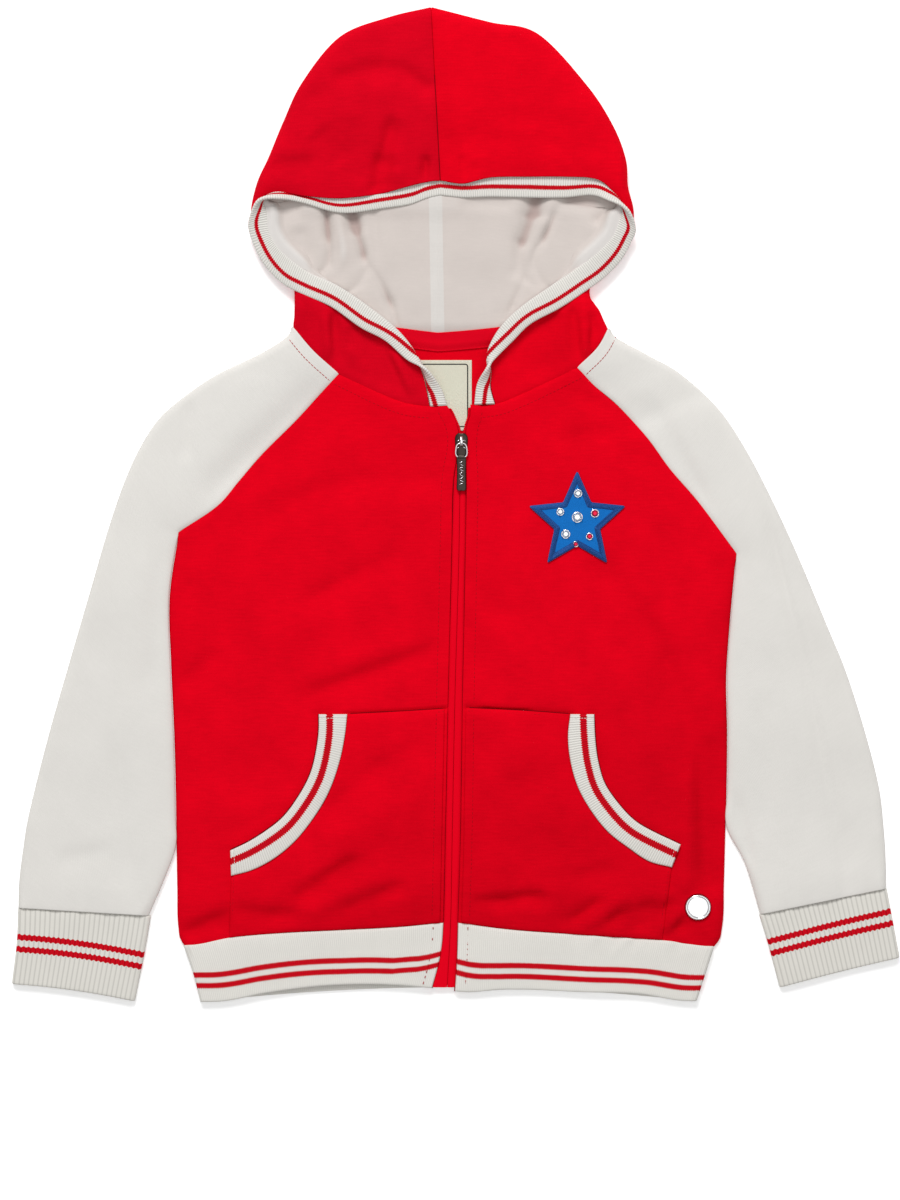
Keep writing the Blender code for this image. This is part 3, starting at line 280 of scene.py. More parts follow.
SLEEVE_CREASES = {
    "left": [
        (-87, 76, -163, 5, 7.8, -1.4, 1.5), (-173, 68, -175, 30, 3.2, -0.7, 1.6),
        (-220, -153, -217, -247, 6.5, -0.8, 1.4), (-192, -36, -199, -127, 6.5, -0.6, 1.4),
        (-234, -75, -244, -166, 9.1, -0.5, 1.2), (-257, -231, -225, -224, 5.9, -0.5, 1.2),
    ],
    "right": [
        (126, 68, 164, 0, 6.5, -0.8, 1.4), (203, -7, 232, -120, 2.6, -0.8, 2.2),
        (230, -114, 258, -258, 2.6, -0.9, 2.2), (183, -189, 193, -234, 2.6, -0.8, 1.8),
        (173, -215, 190, -239, 2.6, -0.7, 1.6), (198, -127, 204, -205, 6.5, -0.5, 1.2),
        (254, -205, 260, -254, 3.2, -0.5, 1.5),
    ],
}
LINING_CREASES = [
    (-84.5, 200, -82.5, 172, 2.6, -2.8, 1.3), (-82.5, 175, -80.5, 153, 2, -1.6, 1.5),
    (-70, 202, -64, 177, 4.6, -3.2, 1.2), (-64.5, 180, -58.5, 160, 2.6, -2.4, 1.5),
    (-59, 163, -40, 128, 1.8, -1.4, 1.8), (-48, 148, -36, 112, 1.7, -1, 1.6),
    (-54, 196, -50, 160, 3.4, -0.8, 1.3), (52, 203, 51, 186, 6.5, -3.4, 1.1),
    (50, 188, 43, 168, 3.4, -2.4, 1.6), (43, 172, 38, 148, 3, -1.4, 1.6),
    (66, 201, 96, 196, 5.5, -2.8, 1.2), (66, 192, 56, 168, 2.2, -1.6, 1.5),
    (103, 196, 90, 183, 2.9, -1.6, 1.6), (60, 180, 46, 154, 1.8, -1, 1.6), (50, 158, 34, 122, 1.8, -1, 1.5),
    (-120, 194, -100, 194, 4.2, -1.1, 1.3), (-101, 180, -97, 158, 5.2, -0.9, 1.4),
    (4, 196, 38, 195, 4.5, -0.9, 1.2), (-76, 190, -72, 158, 3.2, 0.9, 1), (60, 190, 54, 168, 2.6, 0.8, 1),
]
BACK_CREASES = [
    (-140, -30, -60, -70, 9, 0.5, 1.4), (-20, -40, 90, -90, 10, 0.45, 1.3),
    (-150, -150, -70, -190, 8, 0.5, 1.5), (20, -150, 120, -200, 9, 0.5, 1.3),
    (150, -20, 120, -110, 9, 0.4, 1.2), (-60, -250, 40, -230, 8, 0.45, 1.2),
]
# How many times deeper the creases of each table are made than its rows say
FRONT_DEPTH, CROWN_DEPTH, COLLAR_DEPTH, SLEEVE_DEPTH, LINING_DEPTH = 2.5, 2.9, 2.3, 1.75, 1.6
POCKET_ROWS = (-152, -130)      # where a front's grid is finer, for the groove of the pocket's top edge
FRONT_LIFT = 1.8        # how much the middle of a front stands above its seams, to leave room for its troughs
LIFT_REACH = 28.0
BLOUSE = 1.0            # how much the body stands over the hem band that draws it in
BODY_LOWEST = 2.3       # lowest that the body's upper layer sinks
BADGE_CALM = 13         # how far round the disc the cloth lies without creases
HEM_FADE, HEM_KEEP = 8, 0.2     # how far above the hem its creases fade, and the share that is left of them
SIDE_CREST = 8          # how far below the armpit a front starts to turn down at its side
FRONT_SIZE, FRONT_STEP = 178, 2.8       # a front's usual width, and the step of its grid
BACK_SIZE, BACK_STEP = (395, 360), 4.5
ZIP_CREST = 0.6         # how much a front's folded edge at the zip stands up
# Depth and width of the grooves in a front: at the pocket's top, its side, its trim's free edge, and along
# the stitches beside the zip
TOP_GROOVE, SIDE_GROOVE, TRIM_GROOVE, STITCH_GROOVE = (1.7, 1.6), (0.8, 1.4), (1.2, 2.4), (0.7, 0.8)


# ------------------------------------------------------------------ curves


def hermite(points, where, at):
    """Cubic curve through the points at parameters `where`, slopes by central differences, read at `at`."""
    p = np.asarray(points, float)
    t = np.asarray(where, float)
    at = np.atleast_1d(np.asarray(at, float))
    slope = np.gradient(p, t, axis=0)
    k = np.clip(np.searchsorted(t, at, side="right") - 1, 0, len(t) - 2)
    h = (t[k + 1] - t[k])[:, None]
    u = (at - t[k])[:, None] / h
    return ((2 * u**3 - 3 * u**2 + 1) * p[k] + (u**3 - 2 * u**2 + u) * h * slope[k]
            + (3 * u**2 - 2 * u**3) * p[k + 1] + (u**3 - u**2) * h * slope[k + 1])


def chords(points):
    """Distance along a line of points, from 0 to its whole length."""
    return np.append(0, np.cumsum(np.linalg.norm(np.diff(np.asarray(points, float), axis=0), axis=1)))


def smooth(points, where):
    """Cubic curve through the points, read at the fractions `where` of its chord length."""
    t = chords(points)
    return hermite(points, t / t[-1], where)


def sampled(points, count=40):
    return smooth(points, np.linspace(0, 1, count))


def along_line(line, gone, at):
    """Points of a line at the distances `at`, where `gone` has the distance of each of its own points."""
    return np.column_stack([np.interp(at, gone, column) for column in np.asarray(line, float).T])


def x_at(points, y):
    """x of a line of points, which goes up, at the heights y."""
    points = np.asarray(points, float)
    return np.interp(y, points[:, 1], points[:, 0])


def y_at(points, x):
    """y of a line of points, which goes to the right, at each x."""
    points = np.asarray(points, float)
    return np.interp(x, points[:, 0], points[:, 1])


def unit(vectors):
    """Rows of vectors, each divided by its length."""
    return vectors / np.linalg.norm(vectors, axis=1)[:, None]


def circle(count):
    """Cosine and sine at even steps of a whole turn."""
    turn = np.arange(count) * 2 * np.pi / count
    return np.cos(turn), np.sin(turn)


def blended(lower, upper, near, far, u, v):
    """Plan of a four-sided piece from its edges (a Coons patch): lower, upper along u; near, far along v."""
    a, b = u[None, :, None], v[:, None, None]
    corners = (1 - b) * ((1 - a) * near[:1] + a * far[:1]) + b * ((1 - a) * near[-1:] + a * far[-1:])
    lower = lower + (1 - u)[:, None] * (near[0] - lower[0]) + u[:, None] * (far[0] - lower[-1])
    upper = upper + (1 - u)[:, None] * (near[-1] - upper[0]) + u[:, None] * (far[-1] - upper[-1])
    return (1 - b) * lower + b * upper + (1 - a) * near[:, None] + a * far[:, None] - corners


def ease(t):
    t = np.clip(t, 0, 1)
    return t * t * (3 - 2 * t)


def rounding(distance, reach):
    """Height of a quarter ellipse: 0 at the edge, 1 past `reach`."""
    return np.sqrt(1 - (1 - np.clip(distance / reach, 0, 1)) ** 2)


def dip(distance, depth=SEAM_DIP, width=SEAM_WIDTH):
    """How far cloth sinks at that distance from a seam: a bell curve, counted downwards."""
    return -depth * np.exp(-(distance / width) ** 2)


def spread(length, step, near=EDGE_STEPS):
    """Distances from 0 to length: close together at both ends, where an edge is round, even in between."""
    near = near * min(1, 0.45 * length / near[-1])
    count = max(int((length - 2 * near[-1]) / step), 2)
    middle = np.linspace(near[-1], length - near[-1], count + 1)[1:-1]
    return np.concatenate([near, middle, length - near[::-1]])


def sideways(line, towards):
    """Unit normals, in plan, of a line of points, on the side that `towards` lies."""
    way = np.gradient(np.asarray(line, float), axis=0)
    normal = unit(np.column_stack([-way[:, 1], way[:, 0]]))
    sign = np.sign(np.sum(normal * (np.asarray(towards) - line), axis=1))
    return normal * np.sign(np.sum(sign)) if abs(np.sum(sign)) > 0.9 * len(sign) else normal * sign[:, None]


def waver(x, y, size, seed):
    """Slow unevenness of about -1 to 1: five plane waves of near `size` wavelength in seeded directions."""
    draw = np.random.default_rng(seed)
    total = np.zeros(np.broadcast(x, y).shape)
    for _ in range(5):
        turn, phase, scale = draw.uniform(0, np.pi), draw.uniform(0, 2 * np.pi), size * draw.uniform(0.7, 1.5)
        total += np.sin(2 * np.pi * (x * np.cos(turn) + y * np.sin(turn)) / scale + phase)
    return total / 3


# Slow unevenness of each piece: its height, and the size and seed for waver()
UNEVEN = {
    "body": (0.5, 60, 3), "sleeve": (0.3, 90, 5), "cuff": (0.25, 45, 11), "hem": (0.3, 60, 14),
    "hood": (0.4, 70, 21), "lining": (0.35, 40, 31), "trim": (0.25, 34, 41), "pocket": (0.2, 55, 51),
    "zip": (0.05, 40, 61), "star": (0.12, 14, 71), "neck_tape": (0.1, 25, 91),
}


def uneven(x, y, which):
    """The slow unevenness of a piece, in millimetres."""
    height, size, seed = UNEVEN[which]
    return height * waver(x, y, size, seed)


def creases(x, y, rows, depth=1.75):
    """Sum of soft troughs and ridges. Each row is x and y of both ends, width, height and lean: a bell
    curve across the line between the ends, one side of it `lean` times as wide as the other, fading out
    towards both ends. All heights are multiplied by `depth`."""
    total = np.zeros(np.broadcast(x, y).shape)
    for x1, y1, x2, y2, width, height, lean in rows:
        length = np.hypot(x2 - x1, y2 - y1)
        along = ((x - x1) * (x2 - x1) + (y - y1) * (y2 - y1)) / length**2
        off = ((x - x1) * (y2 - y1) - (y - y1) * (x2 - x1)) / length
        wide = np.where(off > 0, width * lean, width)
        fade = ease(along / 0.35 + 0.4) * ease((1 - along) / 0.35 + 0.4)
        total += height * np.exp(-(off / wide) ** 2) * fade
    return depth * total


def at_least(z, lowest, soft=0.5):
    """Heights kept above `lowest`, with an even bend where they reach it."""
    return (z + lowest + np.sqrt((z - lowest) ** 2 + soft)) / 2


# ------------------------------------------------------------------ meshes


def looped(grid):
    """A grid with its first column once more after its last."""
    return np.concatenate([grid, grid[:, :1]], axis=1)


def lengths(grid, axis):
    """Distance along a grid's rows or columns from its first column or row to each point."""
    step = np.linalg.norm(np.diff(grid, axis=axis), axis=2)
    return np.concatenate([np.zeros_like(step.take([0], axis)), np.cumsum(step, axis)], axis)


def normals(grid, closed):
    """Unit normals of a grid of points, from the differences between its neighbours."""
    wide = np.concatenate([grid[:, -1:], looped(grid)], axis=1) if closed else grid
    du = np.gradient(wide, axis=1)
    if closed:
        du = du[:, 1:-1]
    n = np.cross(du, np.gradient(grid, axis=0))
    return n / np.maximum(np.linalg.norm(n, axis=2, keepdims=True), 1e-9)


def cells(index):
    """Four-sided faces of a grid of vertex numbers."""
    return np.stack([index[:-1, :-1], index[:-1, 1:], index[1:, 1:], index[1:, :-1]], axis=2).reshape(-1, 4)


def put(name, points, quads, tris=None, uv=None, uv_quads=None):
    """Object of these points (mm) and faces, turned outwards, with a UV map where `uv` is given."""
    tris = np.zeros((0, 3), int) if tris is None else tris
    a, b, c, d = (points[quads[:, k]] for k in range(4))
    volume = np.sum(a * np.cross(b, c)) + np.sum(a * np.cross(c, d))
    volume += np.sum(points[tris[:, 0]] * np.cross(points[tris[:, 1]], points[tris[:, 2]]))
    if volume < 0:
        quads, tris = quads[:, ::-1], tris[:, ::-1]
        uv_quads = uv_quads if uv is None else uv_quads[:, ::-1]
    mesh = bpy.data.meshes.new(name)
    mesh.vertices.add(len(points))
    mesh.vertices.foreach_set("co", (points * MM).ravel())
    loops = np.concatenate([quads.ravel(), tris.ravel()]).astype(np.int32)
    mesh.loops.add(len(loops))
    mesh.loops.foreach_set("vertex_index", loops)
    mesh.polygons.add(len(quads) + len(tris))
    starts = np.concatenate([np.arange(len(quads)) * 4, quads.size + np.arange(len(tris)) * 3])
    mesh.polygons.foreach_set("loop_start", starts.astype(np.int32))
    mesh.update(calc_edges=True)
    if uv is not None:
        layer = mesh.uv_layers.new(name="cloth")
        layer.data.foreach_set("uv", (uv[uv_quads.ravel()] / UV_UNIT).ravel())
    mesh.shade_smooth()
    thing = bpy.data.objects.new(name, mesh)
    bpy.context.collection.objects.link(thing)
    return thing


def solid(name, grid, flat=False):
    """Closed shape, or many alike, from rings of points (..., rings, round, 3), with a point at each end."""
    rings, around = grid.shape[-3:-1]
    grid = grid.reshape(-1, rings * around, 3)
    ends = np.stack([grid[:, :around].mean(1), grid[:, -around:].mean(1)], axis=1)
    points = np.concatenate([grid, ends], axis=1)
    index = looped(np.arange(rings * around).reshape(rings, around))
    quads = cells(index)
    first, last = rings * around, rings * around + 1
    low = np.column_stack([index[0, 1:], index[0, :-1], np.full(around, first)])
    high = np.column_stack([index[-1, :-1], index[-1, 1:], np.full(around, last)])
    tris = np.concatenate([low, high])
    each = np.arange(len(points))[:, None, None] * points.shape[1]
    thing = put(name, points.reshape(-1, 3), (quads + each).reshape(-1, 4), (tris + each).reshape(-1, 3))
    if flat:
        thing.data.shade_flat()
    return thing


def slab(name, grid, wall, closed=False, relief=0.0, relief_under=0.0, uv=None):
    """Closed piece about a grid of middle points, its wall thinned to nothing at its free edges as a half
    circle.

    `relief` is added to the upper face and `relief_under` to the lower. The UV map holds the distance along
    the columns and the rows, unless `uv` gives other arrays; `closed` joins the last column to the first.
    """
    rows, cols = grid.shape[:2]
    whole = looped(grid) if closed else grid
    across, along = lengths(whole, 1), lengths(whole, 0)
    edge = np.minimum(along, along[-1:] - along)
    if not closed:
        edge = np.minimum(edge, np.minimum(across, across[:, -1:] - across))
    edge = edge[:, :cols]
    full = rounding(edge, wall / 2)
    n = normals(grid, closed)
    top = grid + n * (full * (wall / 2 + relief))[..., None]
    low = grid - n * (full * (wall / 2 + relief_under))[..., None]
    index = np.arange(rows * cols).reshape(rows, cols)
    inner = np.ones((rows, cols), bool)
    inner[[0, -1]] = False
    if not closed:
        inner[:, [0, -1]] = False
    low_index = index.copy()
    low_index[inner] = rows * cols + np.arange(inner.sum())
    points = np.concatenate([top.reshape(-1, 3), low[inner]])
    if closed:
        index, low_index = looped(index), looped(low_index)
    uv_index = np.arange(index.size).reshape(index.shape)
    u, v = uv if uv is not None else (across, along)
    u, v = np.broadcast_to(u, index.shape), np.broadcast_to(v, index.shape)
    flat = np.column_stack([u.ravel(), v.ravel()])
    faces = np.concatenate([cells(index), cells(low_index)[:, ::-1]])
    uv_faces = np.concatenate([cells(uv_index), cells(uv_index)[:, ::-1]])
    return put(name, points, faces, None, flat, uv_faces)


def area_of(grid):
    """Area of a grid of points, as the sum of its cells' two triangles."""
    a, b, c, d = grid[:-1, :-1], grid[:-1, 1:], grid[1:, 1:], grid[1:, :-1]
    halves = np.linalg.norm(np.cross(b - a, c - a), axis=2) + np.linalg.norm(np.cross(c - a, d - a), axis=2)
    return halves.sum() / 2


def lapped(grid, lower=0.0, upper=0.0, near=0.0, far=0.0, reach=3.0):
    """A grid with its edges moved outwards in its own surface, which dies out `reach` inside the edge."""
    for axis, first, last in ((0, lower, upper), (1, near, far)):
        for amount, flip in ((first, False), (last, True)):
            if amount:
                rows = np.moveaxis(grid, axis, 0)[::-1 if flip else 1]
                away = lengths(rows, 0)
                inside = np.argmax(away.min(1) > 1.5)
                out = rows[0] - rows[inside]
                out = out / np.maximum(np.linalg.norm(out, axis=1, keepdims=True), 1e-6)
                rows = rows + (amount * np.clip(1 - away / reach, 0, 1))[..., None] * out
                grid = np.moveaxis(rows[::-1 if flip else 1], 0, axis)
    return grid


LAID = {}     # node: the points of its upper layer, on which stitches are laid


def cloth(name, grid, wall, node, slot, finish, rests_on, closed=False, **looks):
    piece = slab(name, grid, wall, closed, **looks)
    piece.data.materials.append(finish)
    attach(piece, "jacket")
    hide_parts(node)
    LAID[node] = grid[:, grid.shape[1] // 2:] if node.startswith("sleeve") else grid
    grid = looped(grid) if closed else grid
    width = lengths(grid, 1)[:, -1].max() * MM
    length = lengths(grid, 0)[-1].max() * MM
    area = area_of(grid) * MM * MM
    area = max(min(area, 0.98 * width * length), 0.31 * width * length)
    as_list(rests_on)


# ------------------------------------------------------------------ materials


class Net:
    """Short words for building a node tree. A value may be a number, a colour or another node's socket."""

    def __init__(self, tree):
        self.tree = tree

    def add(self, kind, values=(), **settings):
        node = self.tree.nodes.new(kind)
        for key, value in settings.items():
            setattr(node, key, value)
        for key, value in dict(values).items():
            self.feed(node.inputs[key], value)
        return node

    def feed(self, socket, value):
        if isinstance(value, bpy.types.NodeSocket):
            self.tree.links.new(value, socket)
        else:
            socket.default_value = value

    def math(self, operation, *values, clamp=False):
        node = self.add("ShaderNodeMath", enumerate(values), operation=operation, use_clamp=clamp)
        return node.outputs[0]

    def mix(self, share, first, second, way="MIX"):
        values = {0: share, 6: first, 7: second}
        return self.add("ShaderNodeMix", values, data_type="RGBA", blend_type=way).outputs[2]

    def zigzag(self, value):
        """From 0.5 down to 0 and up again over each whole number."""
        return self.math("ABSOLUTE", self.math("SUBTRACT", self.math("FRACT", value), 0.5))

    def wave(self, value):
        """Sine with one turn for each whole number."""
        return self.math("SINE", self.math("MULTIPLY", value, 2 * np.pi))

    def uneven(self, *values):
        """Noise about 0."""
        return self.math("SUBTRACT", self.noise(*values), 0.5)

    def axes(self, vector):
        return self.add("ShaderNodeSeparateXYZ", {0: vector}).outputs

    def noise(self, vector, scale, detail=2.0, rough=0.5):
        return self.add("ShaderNodeTexNoise", {"Vector": vector, "Scale": scale, "Detail": detail,
                                               "Roughness": rough}).outputs["Fac"]

    def step(self, value, low, high):
        """0 below `low`, 1 above `high`, an even curve between."""
        node = self.add("ShaderNodeMapRange", {"Value": value, "From Min": low, "From Max": high},
                        interpolation_type="SMOOTHSTEP")
        return node.outputs["Result"]

    def shaded(self, colour, shade):
        """A colour times a brightness."""
        grey = self.add("ShaderNodeCombineColor", {0: shade, 1: shade, 2: shade}).outputs[0]
        return self.mix(1.0, colour, grey, "MULTIPLY")


def group(name, numbers, build):
    """Node group that takes a place and these numbers; `build` returns its outputs as {name: socket}."""
    tree = bpy.data.node_groups.new(name, "ShaderNodeTree")
    tree.interface.new_socket("Place", in_out="INPUT", socket_type="NodeSocketVector")
    for label, usual in numbers.items():
        socket = tree.interface.new_socket(label, in_out="INPUT", socket_type="NodeSocketFloat")
        socket.default_value = usual
    enter = tree.nodes.new("NodeGroupInput")
    made = build(Net(tree), enter.outputs)
    for label in made:
        tree.interface.new_socket(label, in_out="OUTPUT", socket_type="NodeSocketFloat")
    leave = tree.nodes.new("NodeGroupOutput")
    for label, socket in made.items():
        tree.links.new(socket, leave.inputs[label])
    return tree


def knit_nodes(net, given):
    """Stocking stitch: columns of V-shaped stitches in the height. The colour has a brushed bloom, short
    streaks along the courses, and slow mottling."""
    place = net.axes(given["Place"])
    x = net.math("DIVIDE", place[0], given["Wale"])
    leg = net.zigzag(x)
    y = net.math("ADD", net.math("DIVIDE", place[1], given["Course"]), leg)
    column = net.math("ABSOLUTE", net.math("SINE", net.math("MULTIPLY", x, np.pi)))
    stitch = net.wave(y)
    loops = net.math("MULTIPLY", column, net.math("MULTIPLY_ADD", stitch, 0.3, 0.7))
    fuzz = net.noise(given["Place"], 1.6, 4.0, 0.65)
    height = net.math("MULTIPLY_ADD", fuzz, given["Bloom"], net.math("MULTIPLY", loops, 0.6))
    slow = net.uneven(given["Place"], 0.035, 3.0, 0.6)
    stretched = {0: given["Place"], 1: (0.09, 0.8, 1.0)}
    courses = net.add("ShaderNodeVectorMath", stretched, operation="MULTIPLY").outputs[0]
    streak = net.uneven(courses, 1.0, 3.0, 0.6)
    fine = net.uneven(given["Place"], 0.7, 3.0, 0.7)
    cotton = net.math("MULTIPLY_ADD", slow, 1.2, net.math("MULTIPLY", fine, 0.6))
    cotton = net.math("MULTIPLY_ADD", streak, 0.9, cotton)
    return {"Shade": net.math("MULTIPLY_ADD", cotton, given["Mottle"], 1.0), "Height": height}


def rib_nodes(net, given):
    """Ribs across the first coordinate: a rounded ridge and a narrow valley each, small stitches on them."""
    place = net.axes(given["Place"])
    x = net.math("DIVIDE", place[0], given["Pitch"])
    wave = net.math("COSINE", net.math("MULTIPLY", x, 2 * np.pi))
    leg = net.zigzag(net.math("MULTIPLY", x, 2.0))
    y = net.math("ADD", net.math("DIVIDE", place[1], 1.1), leg)
    stitch = net.wave(y)
    fuzz = net.noise(given["Place"], 1.5, 3.0, 0.6)
    height = net.math("MULTIPLY_ADD", stitch, 0.12, net.math("MULTIPLY", fuzz, 0.5))
    height = net.math("MULTIPLY_ADD", wave, 0.35, height)
    # Painted shade: the colour darkens in each rib's valley
    valley = net.step(wave, -0.2, -1.0)
    shade = net.math("MULTIPLY_ADD", valley, net.math("MULTIPLY", given["Valley"], -1.0), 1.0)
    slow = net.uneven(given["Place"], 0.06, 3.0, 0.6)
    return {"Shade": net.math("MULTIPLY_ADD", slow, 0.06, shade), "Height": height}


def stripe_nodes(net, given):
    """One stripe between two distances from the edge, its border stepped with the stitches of each rib."""
    place = net.axes(given["Place"])
    x = net.math("DIVIDE", place[0], given["Tooth"])
    tooth = net.zigzag(x)
    wander = net.uneven(given["Place"], 0.8, 2.0)
    y = net.math("ADD", place[1], net.math("MULTIPLY_ADD", tooth, 1.8, net.math("MULTIPLY", wander, 0.5)))
    y = net.math("SUBTRACT", y, 0.45)
    rise = net.step(y, net.math("SUBTRACT", given["Low"], 0.16), net.math("ADD", given["Low"], 0.16))
    fall = net.step(y, net.math("ADD", given["High"], 0.16), net.math("SUBTRACT", given["High"], 0.16))
    # Tick is 1 at each rib's valley, where the stripe's red gets painted shade
    return {"Mask": net.math("MULTIPLY", rise, fall), "Tick": net.step(tooth, 0.2, 0.5)}


KNIT_GROUP = group("knit_stitches", {"Wale": 0.9, "Course": 0.7, "Bloom": 0.5, "Mottle": 0.1}, knit_nodes)
RIB_GROUP = group("rib_stitches", {"Pitch": 1.5, "Valley": 0.15}, rib_nodes)
STRIPE_GROUP = group("knitted_stripe", {"Tooth": 1.3, "Low": 5.0, "High": 8.0}, stripe_nodes)

MIDDLE_LEAN, MIDDLE_X = 0.0174, 9.66     # the hood's middle seam in plan: x + lean * y + this is 0
RED = (0.69, 0.0005, 0.0095, 1)
# A darker copy of RED, painted shade for the hood's left half
SHADED_RED = (0.605, 0.001, 0.011, 1)
# The tapes' reds, lighter than the body's: painted light that makes up for the shade they lie in
BRIGHT_RED = (0.74, 0.0008, 0.012, 1)
TAPE_RED = (0.92, 0.002, 0.018, 1)
DEEP_RED = (0.56, 0.004, 0.012, 1)
WHITE = (0.72, 0.70, 0.655, 1)
CUFF_WHITE = (0.69, 0.67, 0.62, 1)
# The lining's colours: its usual tone, a lighter one on its raised lip (painted light) and a darker, pinker
# one low down (painted shade, tinted by the red beneath)
LINING_WHITE = (0.60, 0.54, 0.505, 1)
LIT_LIP_WHITE = (0.665, 0.635, 0.61, 1)
SHADED_LINING_PINK = (0.44, 0.345, 0.32, 1)
STRIP_WHITE = (0.645, 0.615, 0.585, 1)
SLEEVE_WHITE = (0.695, 0.675, 0.64, 1)
CREAM = (0.68, 0.675, 0.55, 1)
BLUE = (0.008, 0.15, 0.50, 1)
BLUE_THREAD = (0.012, 0.10, 0.40, 1)
INK = (0.02, 0.02, 0.018, 1)
GUNMETAL = (0.045, 0.036, 0.031, 1)
STEEL = (0.86, 0.86, 0.87, 1)


def plain_material(name):
    """New material, with its net and its shader."""
    material = bpy.data.materials.new(name)
    material.use_nodes = True
    return material, Net(material.node_tree), material.node_tree.nodes["Principled BSDF"]


def cloth_material(name, colour, rough=0.95, sheen=0.0, gloss=0.02, own_map=True):
    """A matt material to which the callers below add a pattern; returns it with its net, shader and place
    in mm, which comes from the piece's own UV map or else from its Object coordinates."""
    material, net, shader = plain_material(name)
    looks = {"Base Color": colour, "Roughness": rough, "Sheen Weight": sheen, "Specular IOR Level": gloss}
    for key, value in looks.items():
        shader.inputs[key].default_value = value
    if own_map:
        coordinates, unit = net.add("ShaderNodeUVMap", uv_map="cloth").outputs[0], UV_UNIT
    else:
        coordinates, unit = net.add("ShaderNodeTexCoord").outputs["Object"], 1 / MM
    place = net.add("ShaderNodeVectorMath", {0: coordinates, 3: unit}, operation="SCALE").outputs[0]
    return material, net, shader, place


def finished(net, shader, colour, shade, height, distance):
    """Puts a shade on the colour, and a height, at most `distance` millimetres, on the normal."""
    net.feed(shader.inputs["Base Color"], net.shaded(colour, shade))
    bump = net.add("ShaderNodeBump", {"Height": height, "Distance": distance * MM, "Strength": 1.0})
    net.feed(shader.inputs["Normal"], bump.outputs[0])


def patterned(net, shader, tree, values, colour, distance):
    """Puts a pattern group between place and shader: its shade on the colour, its height on the normal."""
    node = net.add("ShaderNodeGroup", values, node_tree=tree)
    finished(net, shader, colour, node.outputs["Shade"], node.outputs["Height"], distance)


def knit_material(name, colour, wale, course, bloom, mottle, distance, lower_right_shade=0.0):
    """Brushed knit, darker by the given share towards the body's lower right: painted shade."""
    material, net, shader, place = cloth_material(name, colour)
    # Painted shade: the colour darkens towards the body's lower right.
    if lower_right_shade:
        axes = net.axes(place)
        down = net.math("MULTIPLY_ADD", axes[0], 0.5, net.math("MULTIPLY", axes[1], -1.0))
        low = net.step(down, 120.0, 270.0)
        colour = net.shaded(colour, net.math("MULTIPLY_ADD", low, -lower_right_shade, 1.0))
    values = {"Place": place, "Wale": wale, "Course": course, "Bloom": bloom, "Mottle": mottle}
    patterned(net, shader, KNIT_GROUP, values, colour, distance)
    return material


def rib_material(name, pitch, stripes, width, valley, distance, white=WHITE):
    """White rib with red stripes: `stripes` are the distances of their middles from the free edge."""
    material, net, shader, place = cloth_material(name, white)
    colour = white
    for middle in stripes:
        stripe = {"Place": place, "Tooth": pitch, "Low": middle - width / 2, "High": middle + width / 2}
        node = net.add("ShaderNodeGroup", stripe, node_tree=STRIPE_GROUP)
        # The stripe's red is darker at each rib's valley: painted shade
        red = net.shaded(DEEP_RED, net.math("MULTIPLY_ADD", node.outputs["Tick"], -0.45, 1.1))
        colour = net.mix(node.outputs["Mask"], colour, red)
    patterned(net, shader, RIB_GROUP, {"Place": place, "Pitch": pitch, "Valley": valley}, colour, distance)
    return material


def lining_material(name, colour, lip, deep, strip, half=4.3):
    """Smooth thin jersey, its colour set by height: lighter on its raised lip, painted light; darker and
    pinker low in its folds, painted shade tinted by the red beneath; with a paler strip `half` millimetres to
    each side of the hood's middle seam."""
    material, net, shader, place = cloth_material(name, colour)
    coordinates = net.add("ShaderNodeTexCoord").outputs["Object"]
    axes = net.axes(coordinates)
    x = net.math("MULTIPLY_ADD", axes[1], MIDDLE_LEAN, net.math("ADD", axes[0], MIDDLE_X * MM))
    mask = net.step(net.math("ABSOLUTE", x), (half + 0.25) * MM, (half - 0.25) * MM)
    # Painted shade low down and painted light on the raised lip, by height above the ground
    cloth = net.mix(net.step(axes[2], 3.2 * MM, 6.6 * MM), deep, colour)
    cloth = net.mix(net.step(axes[2], 8.5 * MM, 11 * MM), cloth, lip)
    values = {"Place": place, "Wale": 0.7, "Course": 0.6, "Bloom": 0.6, "Mottle": 0.1}
    patterned(net, shader, KNIT_GROUP, values, net.mix(mask, cloth, strip), 0.06)
    return material


def metal_material(name, colour, rough, worn, metal=1.0):
    """Metal with faint scratches and smears in its roughness."""
    material, net, shader = plain_material(name)
    place = net.add("ShaderNodeTexCoord").outputs["Object"]
    smear = net.noise(place, 900.0, 4.0, 0.6)
    stretched = net.add("ShaderNodeMapping", {"Vector": place, "Scale": (600.0, 9000.0, 600.0)}).outputs[0]
    scratch = net.noise(stretched, 1.0, 2.0)
    shader.inputs["Metallic"].default_value = metal
    net.feed(shader.inputs["Base Color"], net.shaded(colour, net.math("MULTIPLY_ADD", smear, 0.2, 0.9)))
    marks = net.math("MULTIPLY", net.math("ADD", smear, scratch), worn)
    net.feed(shader.inputs["Roughness"], net.math("ADD", marks, rough - worn, clamp=True))
    return material


def twill_material(name, colour, width, pitch, contrast, distance):
    """Woven tape: slanting twill lines which turn back every `width` millimetres as a herringbone."""
    material, net, shader, place = cloth_material(name, colour, 0.85)
    axes = net.axes(place)
    turn = net.zigzag(net.math("DIVIDE", axes[1], width))
    slant = net.math("ADD", net.math("DIVIDE", axes[0], pitch), net.math("MULTIPLY", turn, 2 * width / pitch))
    line = net.wave(slant)
    grain = net.noise(place, 2.5, 3.0)
    shade = net.math("MULTIPLY_ADD", grain, 0.1, 0.97 - contrast / 2)
    shade = net.math("MULTIPLY_ADD", line, contrast, shade)
    finished(net, shader, colour, shade, line, distance)
    return material


